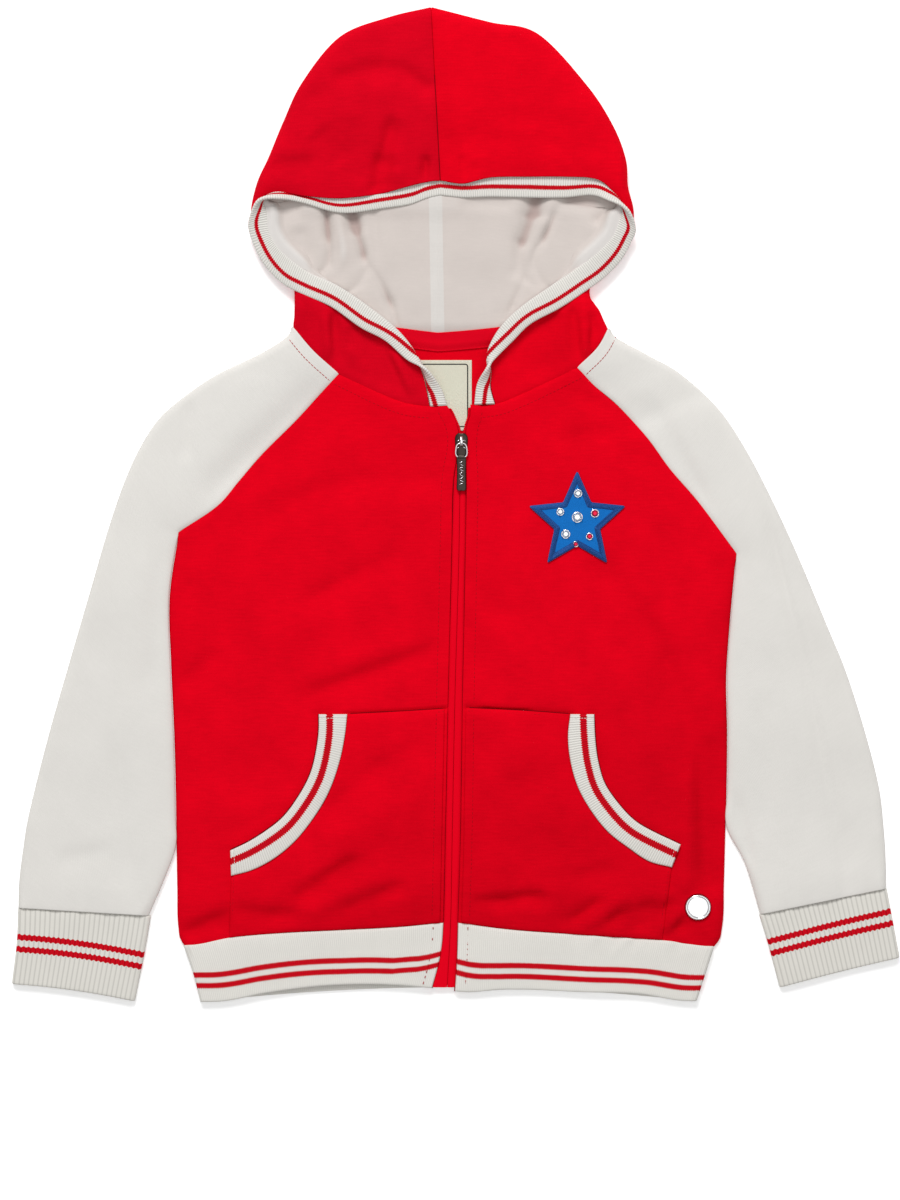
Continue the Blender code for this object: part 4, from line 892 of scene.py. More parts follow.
def thread_material(name, colour, pitch=0.35, rough=0.6):
    """Twisted sewing thread: fine slanting plies."""
    material, net, shader, place = cloth_material(name, colour, rough, gloss=0.06, own_map=False)
    axes = net.axes(place)
    ply = net.math("SINE", net.math("MULTIPLY", net.math("ADD", axes[0], axes[1]), 2 * np.pi / pitch))
    net.feed(shader.inputs["Base Color"], net.shaded(colour, net.math("MULTIPLY_ADD", ply, 0.12, 0.94)))
    return material


def felt_material(name, colour):
    """Pressed felt: matted fibres as noise at two scales, in colour and height."""
    material, net, shader, place = cloth_material(name, colour, 0.97, 0.05, 0.05, own_map=False)
    stretched = net.add("ShaderNodeMapping", {"Vector": place, "Scale": (1.0, 3.0, 1.0)}).outputs[0]
    fibres = net.math("ADD", net.noise(place, 2.2, 5.0, 0.7), net.noise(stretched, 0.9, 4.0, 0.7))
    shade = net.math("MULTIPLY_ADD", fibres, 0.45, 0.55)
    finished(net, shader, colour, shade, fibres, 0.25)
    return material


def satin_material(name, colour, pitch):
    """Satin stitch: glossy threads side by side across the border, painted shade as a dark line between each
    two.
    """
    material, net, shader, place = cloth_material(name, colour, 0.45, gloss=0.4)
    axes = net.axes(place)
    wander = net.noise(place, 0.8, 2.0)
    line = net.math("ADD", net.math("DIVIDE", axes[0], pitch), net.math("MULTIPLY", wander, 0.6))
    thread = net.math("ABSOLUTE", net.math("SINE", net.math("MULTIPLY", line, np.pi)))
    shade = net.math("MULTIPLY_ADD", thread, 0.5, 0.55)
    finished(net, shader, colour, shade, thread, 0.16)
    return material


def label_material(name, colour, width, length, inset=2.7, corner=1.6, line=0.38):
    """Fine woven label with one thin dark line round it, a rounded rectangle `inset` from its edge."""
    material, net, shader, place = cloth_material(name, colour, 0.7, gloss=0.2)
    axes = net.axes(place)
    past = []
    for axis, size in ((0, width), (1, length)):
        off = net.math("ABSOLUTE", net.math("SUBTRACT", axes[axis], size / 2))
        past.append(net.math("SUBTRACT", off, size / 2 - inset - corner))
    outside = [net.math("MAXIMUM", p, 0.0) for p in past]
    squares = [net.math("POWER", value, 2.0) for value in outside]
    far = net.math("SQRT", net.math("ADD", *squares))
    within = net.math("MINIMUM", net.math("MAXIMUM", past[0], past[1]), 0.0)
    away = net.math("ABSOLUTE", net.math("SUBTRACT", net.math("ADD", far, within), corner))
    ink = net.step(away, line + 0.08, line - 0.04)
    weft = net.math("SINE", net.math("MULTIPLY", axes[1], 2 * np.pi / 0.45))
    warp = net.math("SINE", net.math("MULTIPLY", axes[0], 2 * np.pi / 0.6))
    weave = net.math("MULTIPLY", weft, warp)
    grain = net.noise(place, 1.2, 3.0)
    shade = net.math("MULTIPLY_ADD", weave, 0.035, net.math("MULTIPLY_ADD", grain, 0.08, 0.95))
    finished(net, shader, net.mix(ink, colour, INK), shade, weave, 0.05)
    return material


# The body's red, with painted shade towards its lower right
RED_KNIT = knit_material("red_knit", RED, 0.85, 0.7, 0.8, 0.3, 0.12, lower_right_shade=0.12)
# A darker copy of the red for the hood's left half: painted shade
RED_KNIT_SHADED = knit_material("red_knit_shaded", SHADED_RED, 0.85, 0.7, 0.8, 0.3, 0.12)
SLEEVE_KNIT = knit_material("sleeve_knit", SLEEVE_WHITE, 1.1, 0.9, 0.8, 0.07, 0.08)
LINING_KNIT = lining_material("lining_jersey", LINING_WHITE, LIT_LIP_WHITE, SHADED_LINING_PINK, STRIP_WHITE)
TRIM_RIB = rib_material("trim_rib", TRIM_PITCH, (HOOD_STRIPE,), 3.0, 0.26, 0.12)
POCKET_RIB = rib_material("pocket_rib", TRIM_PITCH, (POCKET_STRIPE,), 4.4, 0.2, 0.12)
HEM_RIB = rib_material("hem_rib", HEM_PITCH, HEM_STRIPES, 3.7, 0.12, 0.08)
CUFF_RIB = rib_material("cuff_rib", CUFF_PITCH, CUFF_STRIPES, 3.8, 0.2, 0.12, CUFF_WHITE)
# Both tapes in the lighter reds: painted light
ZIP_TAPE = twill_material("zip_tape", BRIGHT_RED, 400.0, 0.7, 0.06, 0.012)
NECK_TAPE = twill_material("herringbone_tape", TAPE_RED, 5.8, 1.5, 0.24, 0.05)
RED_THREAD = thread_material("red_thread", (0.42, 0.002, 0.009, 1))
# Dark red for the painted shadow lines in seams and along folded edges
SHADOW_LINE_RED = thread_material("shadow_line_red", (0.20, 0.001, 0.005, 1), rough=0.9)
# Lighter red for the zip's teeth, a painted highlight along them; the neck tape's stitches use it too
TEETH_THREAD = thread_material("teeth_thread", (0.76, 0.004, 0.014, 1))
WHITE_THREAD = thread_material("white_thread", (0.78, 0.77, 0.73, 1))
DARK_METAL = metal_material("dark_metal", GUNMETAL, 0.3, 0.10)
MIRROR_METAL = metal_material("polished_metal", STEEL, 0.05, 0.02)
SETTING_METAL = metal_material("setting_metal", (0.72, 0.72, 0.74, 1), 0.18, 0.06)
CLEAR_STONE = metal_material("clear_stone", (0.80, 0.84, 0.88, 1), 0.06, 0.02, 0.85)
RED_STONE = metal_material("red_stone", (0.62, 0.01, 0.05, 1), 0.06, 0.02, 0.7)
BLUE_FELT = felt_material("blue_felt", BLUE)
SATIN = satin_material("satin_border", BLUE_THREAD, 0.42)
LABEL_WEAVE = label_material("label_weave", CREAM, 37.0, 46.0)


# ------------------------------------------------------------------ the body


def ribbed(grid, pitch, per_rib, height, closed=False):
    """Relief of a rounded ridge for every `per_rib` columns of a grid, and its pattern's two coordinates: the
    distance across the ribs and the distance from the last row."""
    whole = looped(grid) if closed else grid
    down = lengths(whole, 0)
    relief = height * np.cos(2 * np.pi * np.arange(grid.shape[1]) / per_rib)
    return relief, pitch / per_rib * np.arange(whole.shape[1]), down[-1:] - down


def from_line(x, y, line):
    """Distance in plan from each point to a line of points."""
    shape = np.broadcast(x, y).shape
    p = np.column_stack([np.ravel(np.broadcast_to(x, shape)), np.ravel(np.broadcast_to(y, shape))])
    line = np.asarray(line, float)
    a, way = line[:-1], np.diff(line, axis=0)
    share = np.clip(((p[:, None] - a) * way).sum(2) / (way**2).sum(1), 0, 1)
    away = p[:, None] - a - share[..., None] * way
    return np.sqrt((away**2).sum(2).min(1)).reshape(shape)


def sunk(x, y, points, *shape):
    """How far the cloth sinks along a seam through these points: a dip() of that depth and width."""
    return dip(from_line(x, y, sampled(points)), *shape)


def paced(points, step):
    """Row numbers, as fractions, `step` millimetres apart along a line of points, closer at both ends."""
    number = np.arange(len(points))
    fine = np.linspace(0, number[-1], 40 * len(points))
    along = chords(hermite(points, number, fine))
    return np.interp(spread(along[-1], step), along, fine)


def body_outline():
    """Plan of both fronts' edges as one line: from the zip's foot round the left front, then the right."""
    around = []
    for side, way in INWARDS.items():
        line = HEM_SEAM[side][:0:-1] + BODY_SIDE[side][::-1] + SIDE_SEAM[side][::-1] + NECK[side][3:]
        around += (line + ZIP_EDGE[side][-2::-1])[::way]
    return around


BODY_OUTLINE = body_outline()


def body_height(x, y):
    """Middle of the upper layer of the body, which rises towards the neck seam and has soft creases."""
    below = y_at(NECK["left"] + NECK["right"][::-1], x) - y
    rise = NECK_RISE * np.exp(-(np.maximum(below, 0) / NECK_REACH) ** 2)
    calm = 1 - np.exp(-(((x - BADGE[0]) ** 2 + (y - BADGE[1]) ** 2) / BADGE_CALM**2) ** 2)
    lift = FRONT_LIFT * ease(from_line(x, y, BODY_OUTLINE) / LIFT_REACH)
    above = y - y_at(HEM_SEAM["left"] + HEM_SEAM["right"][::-1], x)
    lift = lift + BLOUSE * ease(above / 20) * (1 - ease((above - 22) / 40)) * ease(np.abs(x + 2) / 16)
    kept = HEM_KEEP + (1 - HEM_KEEP) * ease((above - 1) / HEM_FADE)
    soft = creases(x, y, FRONT_CREASES, FRONT_DEPTH) * calm * kept
    soft = soft + uneven(x, y, "body")
    return at_least(LAY + rise + lift + soft, BODY_LOWEST)


def edge_at(points, y):
    """x of an edge at the heights y: a cubic curve through its points, which go up."""
    points = np.array(points, float)
    return hermite(points, points[:, 1], y)[:, 0]


def outer_edge(side, y):
    """x of a front's outer edge at y: the body's side below the armpit, the raglan seam above it."""
    low = (SIDE_SEAM[side][ARMPIT:] + BODY_SIDE[side])[::-1]
    return np.where(y < low[-1][1], edge_at(low, y), edge_at(SIDE_SEAM[side][ARMPIT::-1], y))


def front_height(side, x, y):
    """Middle of a front: the body's height, sunk along its seams and raised along its edge at the zip."""
    z = body_height(x, y)
    z = z + sunk(x, y, SIDE_SEAM[side][:ARMPIT + 1])
    z = z + sunk(x, y, NECK[side][2:])
    z = z + sunk(x, y, HEM_SEAM[side], 0.15)
    z = z + sunk(x, y, POCKET_TOP[side], *TOP_GROOVE)
    z = z + dip(from_line(x, y, [TRIM_INNER[side][-1], POCKET_SEAM_END[side]]), *SIDE_GROOVE)
    z = z + sunk(x, y, TRIM_OUTER[side], *TRIM_GROOVE)
    past = from_line(x, y, sampled(ZIP_EDGE[side], 60)) - TOPSTITCH
    return z + ZIP_CREST * (1 - ease(past / 1.6)) + dip(past, *STITCH_GROOVE)


def front(side):
    """Front panel: plan from its four edges; the height turns down at the side fold by a quarter ellipse."""
    way = INWARDS[side]
    bottom, top = HEM_SEAM[side][0][1], NECK[side][2][1]
    v = spread(top - bottom, FRONT_STEP)
    v = np.sort(np.append(v, np.arange(*POCKET_ROWS, 0.9) - bottom))
    u = spread(FRONT_SIZE, FRONT_STEP)
    v, u, y = v / v[-1], u / u[-1], bottom + v
    folded = 1 - ease((y - SIDE_SEAM[side][ARMPIT][1] + SIDE_CREST) / SIDE_CREST)
    outer = np.column_stack([outer_edge(side, y) + way * KNIT / 2 * folded, y])
    zip_line = smooth(ZIP_EDGE[side], v)
    plan = blended(smooth(HEM_SEAM[side], u), smooth(NECK[side][2:], u), outer, zip_line, u, v)
    x, y = plan[..., 0], plan[..., 1]
    level = front_height(side, x, y)
    turned = folded[:, None] * (1 - rounding(np.abs(x - outer[:, :1]), FOLD))
    grid = lapped(np.dstack([plan, level - (level - FLOOR - 0.6) * turned]), SEAM_LAP, SEAM_LAP)
    cloth(f"front_panel_{side}", grid, KNIT, f"front_{side}", "red_knit", RED_KNIT, ["back_panel"],
          uv=(x, y))


def back_raglan(side):
    """Back raglan seam, from the neck to the armpit, at the front raglan seam's rows."""
    fold, middle = np.array(NECK[side][0], float), np.array(BACK_NECK_MIDDLE, float)
    start = middle + BACK_RAGLAN_NECK[side] * (fold - middle)
    seam = np.array(SIDE_SEAM[side][: ARMPIT + 1], float)
    share = np.linspace(1, 0, ARMPIT + 1)[:, None] ** 2
    return seam + share * (start - seam[0])


def back():
    """Back panel: flat on the ground, a little inside the fronts' folded sides, with low creases."""
    v, u = (spread(size, BACK_STEP) for size in BACK_SIZE)
    v, u = v / v[-1], u / u[-1]
    sides = {}
    for side, way in INWARDS.items():
        low = np.array((SIDE_SEAM[side][ARMPIT:] + [HEM_FOLD[side][0]])[::-1], float) + (way * KNIT, 0)
        line = np.vstack([sampled(low)[:-1], sampled(back_raglan(side)[::-1])])
        y = line[0, 1] + v * (line[-1, 1] - line[0, 1])
        sides[side] = np.column_stack([x_at(line, y), y])
    first, last = sides["left"][0], sides["right"][0]
    hem_line = first + u[:, None] * (last - first)
    hem_line[:, 1] += HEM_BACK_BOW * 4 * u * (1 - u)
    first, last = sides["left"][-1], sides["right"][-1]
    x = first[0] + u * (last[0] - first[0])
    neck = np.column_stack([x, y_at([first, BACK_NECK_MIDDLE, last], x)])
    plan = blended(hem_line, neck, sides["left"], sides["right"], u, v)
    x, y = plan[..., 0], plan[..., 1]
    grid = np.dstack([plan, FLOOR + np.maximum(creases(x, y, BACK_CREASES), 0)])
    cloth("back_panel_cloth", grid, KNIT, "back_panel", "red_knit", RED_KNIT, ["floor"], uv=(x, y))


# ------------------------------------------------------------------ sleeves and cuffs


SLEEVE_STEP = 2.9
FOLD_GAP = 0.15         # slit between a body's side fold and a sleeve's, and between a sleeve's two layers
ARMPIT_TURN = 0.25      # rows over which the sleeve's two ends come together below the armpit
# Gathers at the cuff: height, waves across the sleeve, their wander, reach up the sleeve, and the size and
# seed of its waver()
GATHERS = [(0.3, 11, 0.25, 11, 30, 8), (0.25, 5, 0.4, 26, 60, 9)]
CUFF_WIDTH, CUFF_TURN = 84.5, 4.0       # a cuff's usual width, and how far its folded sides take to level out
CUFF_COLUMNS = 6        # to one rib of the cuff
HEM_COLUMNS = 3         # to one rib of the hem


def sleeve(side):
    """Raglan sleeve wrapped from the back seam, round the upper fold, to the front seam.

    A row's height is a quarter ellipse at each fold and a low arch between them, with creases, and gathers
    where it is sewn to the cuff. Below the armpit the two ends of a row meet at a fold beside the body.
    """
    way = INWARDS[side]
    outers = np.array(SLEEVE_FOLD[side] + [row[0] for row in SLEEVE_END[side]], float)
    inners = np.array(SIDE_SEAM[side] + [row[1] for row in SLEEVE_END[side]], float)
    row = paced(outers, SLEEVE_STEP)
    count = len(outers)
    above = (row < ARMPIT)[:, None]
    rest = hermite(inners[ARMPIT:], np.arange(ARMPIT, count), row)
    folded = ease((row - ARMPIT) / ARMPIT_TURN)[:, None]
    aside = np.array([way * (KNIT / 2 + FOLD_GAP), 0]) * folded
    inner = np.where(above, hermite(inners[:ARMPIT + 1], np.arange(ARMPIT + 1), row), rest) - aside
    under = np.where(above, hermite(back_raglan(side), np.arange(ARMPIT + 1), row), rest) - aside
    outer = hermite(outers, np.arange(count), row)
    near = FOLD * (1 - np.cos(np.linspace(0, np.pi / 2, 8)))
    far = np.concatenate([EDGE_STEPS, [3.7, FOLD]])[::-1]
    middle_share = np.linspace(0, 1, 24)[1:-1]
    halves = []
    for end in (under, inner):
        width = np.linalg.norm(end - outer, axis=1)[:, None]
        parts = [near + 0 * width, FOLD + middle_share * (width - 2 * FOLD), width - far]
        distance = np.concatenate(parts, axis=1)
        share = distance / width
        plan = outer[:, None] + share[..., None] * (end - outer)[:, None]
        rise = rounding(distance, FOLD) * (1 - folded * (1 - rounding(width - distance, FOLD)))
        if end is inner:
            neck = np.array(NECK[side][:3], float)
            straight = neck[0] + share[:1].T * (neck[2] - neck[0])
            bow = smooth(neck, share[0]) - straight
            bow = bow + (1 - share[:1].T) * 0.6 * (neck[0] - outer[0])
            plan = plan + bow * (1 - ease(row / 0.9))[:, None, None]
        halves.append((plan, share, rise))
    top_mid = body_height(inner[:, 0], inner[:, 1])[:, None]
    centre = (top_mid + FLOOR) / 2
    plan, share, rise = halves[0]
    low = np.dstack([plan, centre - (centre - FLOOR) * rise])
    plan, share, rise = halves[1]
    x, y = plan[..., 0], plan[..., 1]
    from_cuff = from_line(x, y, [SLEEVE_END[side][1][0], SLEEVE_END[side][1][1]])
    seams = sunk(x, y, SIDE_SEAM[side][:ARMPIT + 1]) * (1 - folded) + dip(from_cuff, 0.2)
    gathers = 0
    for height, waves, wander, reach, size, seed in GATHERS:
        wave = np.sin(2 * np.pi * (waves * share + wander * waver(x, y, size, seed)))
        gathers = gathers + height * wave * np.exp(-from_cuff / reach)
    folds = creases(x, y, SLEEVE_CREASES[side], SLEEVE_DEPTH) + uneven(x, y, "sleeve")
    puffed = top_mid + PUFF * np.sin(np.pi * share) * ease(from_cuff / 20 + 0.1) + folds + gathers
    top = np.dstack([plan, centre + (puffed - centre) * rise + seams * rise])
    grid = lapped(np.concatenate([low[:, :0:-1], top], axis=1), 0, SEAM_LAP, 0, 0.5 * SEAM_LAP)
    cloth(f"sleeve_tube_{side}", grid, KNIT, f"sleeve_{side}", "white_knit", SLEEVE_KNIT, ["floor"])


def cuff(side):
    """Rib cuff: a tube flattened between two half ellipses, with a rounded ridge for every rib."""
    width, reach, low = CUFF_WIDTH, CUFF_TURN, RIB / 2
    turn = np.linspace(0, np.pi / 2, 12)
    near = reach * (1 - np.cos(turn))
    across = np.concatenate([near, np.linspace(reach, width - reach, 60)[1:-1], width - near[::-1]])
    rise = rounding(across, reach) * rounding(width - across, reach)
    middle = (CUFF_LAY + low) / 2
    height = np.concatenate([middle + (CUFF_LAY - middle) * rise, middle - (middle - low) * rise[::-1]])
    across = np.concatenate([across, across[::-1]])
    round_it = chords(np.column_stack([across, height]))
    ribs = int(round_it[-1] / CUFF_PITCH)
    place = np.arange(ribs * CUFF_COLUMNS) * round_it[-1] / (ribs * CUFF_COLUMNS)
    share, height = np.interp(place, round_it, across / width), np.interp(place, round_it, height)
    table = np.array([[*outer, *inner, bow] for (outer, inner), bow in
                      zip(CUFF[side], (0, 0.3 * CUFF_BOW[side], CUFF_BOW[side]))], float)
    length = np.hypot(*(table[-1, :2] - table[0, :2]))
    where = chords(table[:, :2])
    row = hermite(table, where, spread(length, 4.0, RIB_STEPS) * where[-1] / length)
    outer, inner, bow = row[:, None, :2], row[:, None, 2:4], row[:, None, 4]
    plan = outer + share[:, None] * (inner - outer)
    plan[..., 1] += 4 * share * (1 - share) * bow
    x, y = plan[..., 0], plan[..., 1]
    upper = ease((height - low) / 2)
    seam = from_line(x, y, sampled([CUFF[side][0][0], CUFF[side][0][1]], 2))
    z = height + upper * (dip(seam, 0.2) + uneven(x, y, "cuff"))
    grid = lapped(np.dstack([plan, z]), SEAM_LAP)
    rib, *pattern = ribbed(grid, CUFF_PITCH, CUFF_COLUMNS, 0.11, closed=True)
    cloth(f"cuff_rib_{side}", grid, RIB, f"cuff_{side}", "white_rib", CUFF_RIB, ["floor"], closed=True,
          relief=rib, uv=pattern)


# ------------------------------------------------------------------ hem


HEM_DEPTH, HEM_HALF = 41, 165       # the band's depth, and its length from the zip to a side fold


def hem():
    """Hem band: one strip of doubled rib from the zip, round both side folds and the back, to the zip."""
    v = spread(HEM_DEPTH, 4.0, RIB_STEPS) / HEM_DEPTH
    count = int(HEM_HALF * HEM_COLUMNS / HEM_PITCH)
    turn = np.linspace(0, np.pi, 19)
    middle = (HEM_LAY + RIB / 2) / 2
    tops, turns = {}, {}
    for side, way in INWARDS.items():
        u = np.linspace(0.018, 1, count)
        plan = blended(smooth(HEM_SEAM[side], u), smooth(HEM_LOWER[side], u), smooth(HEM_FOLD[side], v),
                       smooth(HEM_ZIP[side], v), u, v)
        x, y = plan[..., 0], plan[..., 1]
        from_seam = from_line(x, y, sampled(HEM_SEAM[side]))
        soft = uneven(x, y, "hem") + 0.2 * creases(x, y + 12, FRONT_CREASES) * np.exp(-from_seam / 18)
        tops[side] = np.dstack([plan, HEM_LAY + soft * ease(u / 0.1) + dip(from_seam, 0.3) * ease(u / 0.03)])
        x = smooth(HEM_FOLD[side], v)[:, :1] + way * (RIB / 2 + FOLD * 0.6 * (1 - np.sin(turn)))
        y = np.broadcast_to(plan[:, :1, 1], x.shape)
        turns[side] = np.dstack([x, y, np.broadcast_to(middle + (HEM_LAY - middle) * np.cos(turn), x.shape)])
    span = np.linspace(0, 1, 2 * count)[1:-1]
    first, last = turns["left"][:, -1:], turns["right"][:, -1:]
    under = first + span[None, :, None] * (last - first)
    under[..., 1] += HEM_BACK_BOW * 4 * span * (1 - span)
    grid = np.concatenate([tops["left"][:, ::-1], turns["left"][:, 1:], under, turns["right"][:, ::-1],
                           tops["right"][:, 1:]], axis=1)
    grid = lapped(grid, SEAM_LAP)
    rib, across, from_free = ribbed(grid, HEM_PITCH, HEM_COLUMNS, 0.08)
    middle_row = grid[grid.shape[0] // 2]
    shift = y_at(HEM_STRIPE, middle_row[:, 0]) - HEM_STRIPES[1]
    shift = shift * (middle_row[:, 2] > 2.5)
    cloth("hem_rib", grid, RIB, "hem_band", "white_rib", HEM_RIB, ["back_panel", "floor"], relief=rib,
          uv=(across, from_free - shift))


# ------------------------------------------------------------------ hood


SEAM_STEPS = np.array([0, 0.35, 0.8, 1.5])      # distances from the hood's middle seam that its grids have
OUTER_STEP, LINING_STEP = 3.0, 2.6
LINING_GROUND, LINING_TOP = 53, 36      # columns of the lining on the ground and of its upper part
# The open lining: y at which it starts to rise, height, and the two places where it rises on and falls again
RISE_START, LINING_RISE, RISE_ON, RISE_END = 103, 4.8, 184, 203
CROWN_HELD = (0.92, 0.07, 0.75)     # share of a row where the crown's creases fade, how fast, and by how much
TRIM_WIDTH, TRIM_STEP = 14.5, 2.6
TRIM_ARCH = 0.6         # how much the trim's section stands up between its edges
TRIM_HIDDEN = 2.6       # how far below the red the trim starts on the crown


def hood_rows(side, step, of):
    """The hood's tables read at even steps of the line that `of` makes of them, and the row numbers there.
    The columns are x and y of seam, fold, edge and free edge, both heights, the roll and the share that is
    lined."""
    table = []
    for (seam, height, lined), (fold, edge, free, free_height, roll) in zip(HOOD_SHARED, HOOD[side]):
        table.append([*seam, *fold, *edge, *free, height, free_height, roll, lined])
    table = np.array(table, float)
    number = np.arange(len(table))
    fine = np.linspace(0, number[-1], 900)
    along = of(hermite(table, number, fine))
    where = np.interp(step(along[-1]), along, fine)
    rows = hermite(table, number, where)
    rows[:, 10:] = np.clip(rows[:, 10:], 0, 1)
    return rows, where


def longest(rows):
    """Distance gone, at each row, by whichever of the fold and the sewn edge moves more."""
    moved = np.maximum(np.hypot(*np.diff(rows[:, 2:4], axis=0).T), np.hypot(*np.diff(rows[:, 4:6], axis=0).T))
    return np.append(0, np.cumsum(moved))


def neck_bulge(side, share, number):
    """How far a row's upper part leaves a straight line: it follows the neck seam, and straightens above."""
    sewn = abs(HOOD[side][0][1][0])
    fine = np.linspace(0, 1, 80)
    line = smooth([p for p in NECK[side] if abs(p[0]) >= sewn], fine)
    off = line - line[0] - fine[:, None] * (line[-1] - line[0])
    bulge = np.dstack([np.interp(share, fine, off[:, k]) for k in range(2)])
    return bulge * ease(1 - number / 4.5)[:, None, None]


def wrapped(side, seam, fold, stop, low, high, reach, number, ground_count=22, top_count=48):
    """Rows wrapped from the seam on the ground, round a half-elliptic fold and back over the top to `stop`.

    Returns their plan, their height, and the share of the upper part at each point (0 at the fold, -1 below
    it).
    """
    turn = np.linspace(0, np.pi / 2, 9)
    span = np.linalg.norm(stop - fold, axis=1)[:, None]
    ground = np.linalg.norm(seam - fold, axis=1)[:, None]
    reach = np.minimum(reach[:, None], 0.85 * span + 0.6)
    on_ground = reach + np.linspace(1, 0, ground_count) * (ground - SEAM_STEPS[-1] - reach)
    on_ground = np.concatenate([ground - SEAM_STEPS[:-1], on_ground], axis=1)
    below = np.concatenate([on_ground, reach * (1 - np.cos(turn[-2::-1]))], axis=1)
    near_edge = np.minimum(EDGE_STEPS[::-1], 0.3 * (span - reach))
    top = reach + np.linspace(0, 1, top_count)[:-1] * np.maximum(span - reach - near_edge[:, :1], 0.05)
    above = np.concatenate([reach * (1 - np.cos(turn[1:-1])), top, span - near_edge], axis=1)
    plan_low = fold[:, None] + (below / ground)[..., None] * (seam - fold)[:, None]
    plan_high = fold[:, None] + (above / span)[..., None] * (stop - fold)[:, None]
    plan_high = plan_high + neck_bulge(side, above / span, number)
    middle = ((low + high) / 2)[:, None]
    z_low = middle - (middle - low[:, None]) * rounding(below, reach)
    z_high = middle + (high[:, None] - middle) * rounding(above, reach)
    share = np.concatenate([np.full_like(below, -1), above / span], axis=1)
    return np.concatenate([plan_low, plan_high], axis=1), np.concatenate([z_low, z_high], axis=1), share


def held(relief, room):
    """Relief whose troughs level out before they are `room` deep."""
    room = np.maximum(room, 0.05)
    return np.where(relief < 0, -room * (1 - np.exp(np.minimum(relief, 0) / room)), relief)


def hood_relief(side, x, y, upper, crown, room):
    """Creases, unevenness and the sunk middle seam of the hood's upper layer, faded out towards its fold."""
    start, width, loss = CROWN_HELD
    calm = 1 - loss * ease((upper - start) / width)
    soft = creases(x, y, CROWN_CREASES, CROWN_DEPTH) * crown * calm
    soft = soft + creases(x, y, COLLAR_CREASES, COLLAR_DEPTH) * (1 - crown)
    middle_line = np.array(HOOD[side][-1][:2], float)
    seam = dip(from_line(x, y, middle_line), 0.9, 1.7) * ease(upper * 12)
    return held((soft + uneven(x, y, "hood")) * ease(upper * 5), room) + seam


def collar_fall(fold, stop, crown, number, share):
    """How the collar falls away from its rolled trim and fills out again towards its fold."""
    upper = np.clip(share, 0, 1)
    span = np.linalg.norm(stop - fold, axis=1)
    from_edge = (1 - upper) * span[:, None]
    sunk = COLLAR_SINK * ease((from_edge - 9) / 17) * (share >= 0) * ease(upper * 8)
    full = COLLAR_PUFF * np.sin(np.pi * np.clip(upper / 0.6, 0, 1))
    return ((1 - crown) * ease(number / 1.5) * ease((span - 25) / 30))[:, None] * (full - sunk)


def hood_layer(side, rows, number, fold, stop, floor, sunk, *counts):
    """One layer of the hood, `sunk` millimetres below where the outer one lies: its plan, height and share
    as in wrapped(). Its crown stands up as a sine arch, its collar falls away from the trim, and both have
    creases."""
    crown = ease((number - CROWN_START) / 3)
    high = rows[:, 8] - ROLLED_DROP * rows[:, 10] - sunk
    reach = FOLD + (CROWN_FOLD - FOLD) * crown
    low = np.full_like(high, floor)
    plan, z, share = wrapped(side, rows[:, :2], fold, stop, low, high, reach, number, *counts)
    upper = np.clip(share, 0, 1)
    z = z + crown[:, None] * CROWN_PUFF * np.sin(np.pi * (upper * 0.94) ** 0.8) * (share >= 0)
    z = z + collar_fall(fold, stop, crown, number, share)
    z = z + hood_relief(side, plan[..., 0], plan[..., 1], upper, crown[:, None], z - OUTER_LOWEST + sunk)
    return plan, z, share


def hood_outer(side):
    """Red half of the hood: its crown stands up from the folded edge; a sewn line runs down its middle."""
    rows, number = hood_rows(side, lambda whole: spread(whole, OUTER_STEP), longest)
    fold, edge = rows[:, 2:4], rows[:, 4:6]
    stop = edge - sideways(edge, HOOD_MIDDLE) * (0.3 + 1.8 * rows[:, 10])[:, None]
    plan, z, share = hood_layer(side, rows, number, fold, stop, FLOOR, 0.0)
    x, y = plan[..., 0], plan[..., 1]
    z = z + sunk(x, y, NECK[side]) * (share >= 0) * ease(np.clip(share, 0, 1) * 8)
    grid = lapped(np.dstack([plan, np.maximum(z, FLOOR)]), SEAM_LAP)
    # The left half gets the darker copy of the red: painted shade
    finish = RED_KNIT if side == "right" else RED_KNIT_SHADED
    place = (grid[..., 0], grid[..., 1])
    cloth(f"hood_half_{side}", grid, KNIT, f"hood_outer_{side}", "red_knit", finish, ["floor"], uv=place)


def lining_floor(x, y):
    """Height of the lining where it lies open: it rises above the neck and has sharp soft folds."""
    lift = LINING_RISE * ease((y - RISE_START) / 16)
    lift = lift * (1 + 0.2 * ease((y - RISE_ON) / 10)) * (1 - 0.75 * ease((y - RISE_END) / 10))
    z = LINING_FLOOR + lift + creases(x, y, LINING_CREASES, LINING_DEPTH) + uneven(x, y, "lining")
    return at_least(z, LINING_FLOOR - 0.1, 0.4)


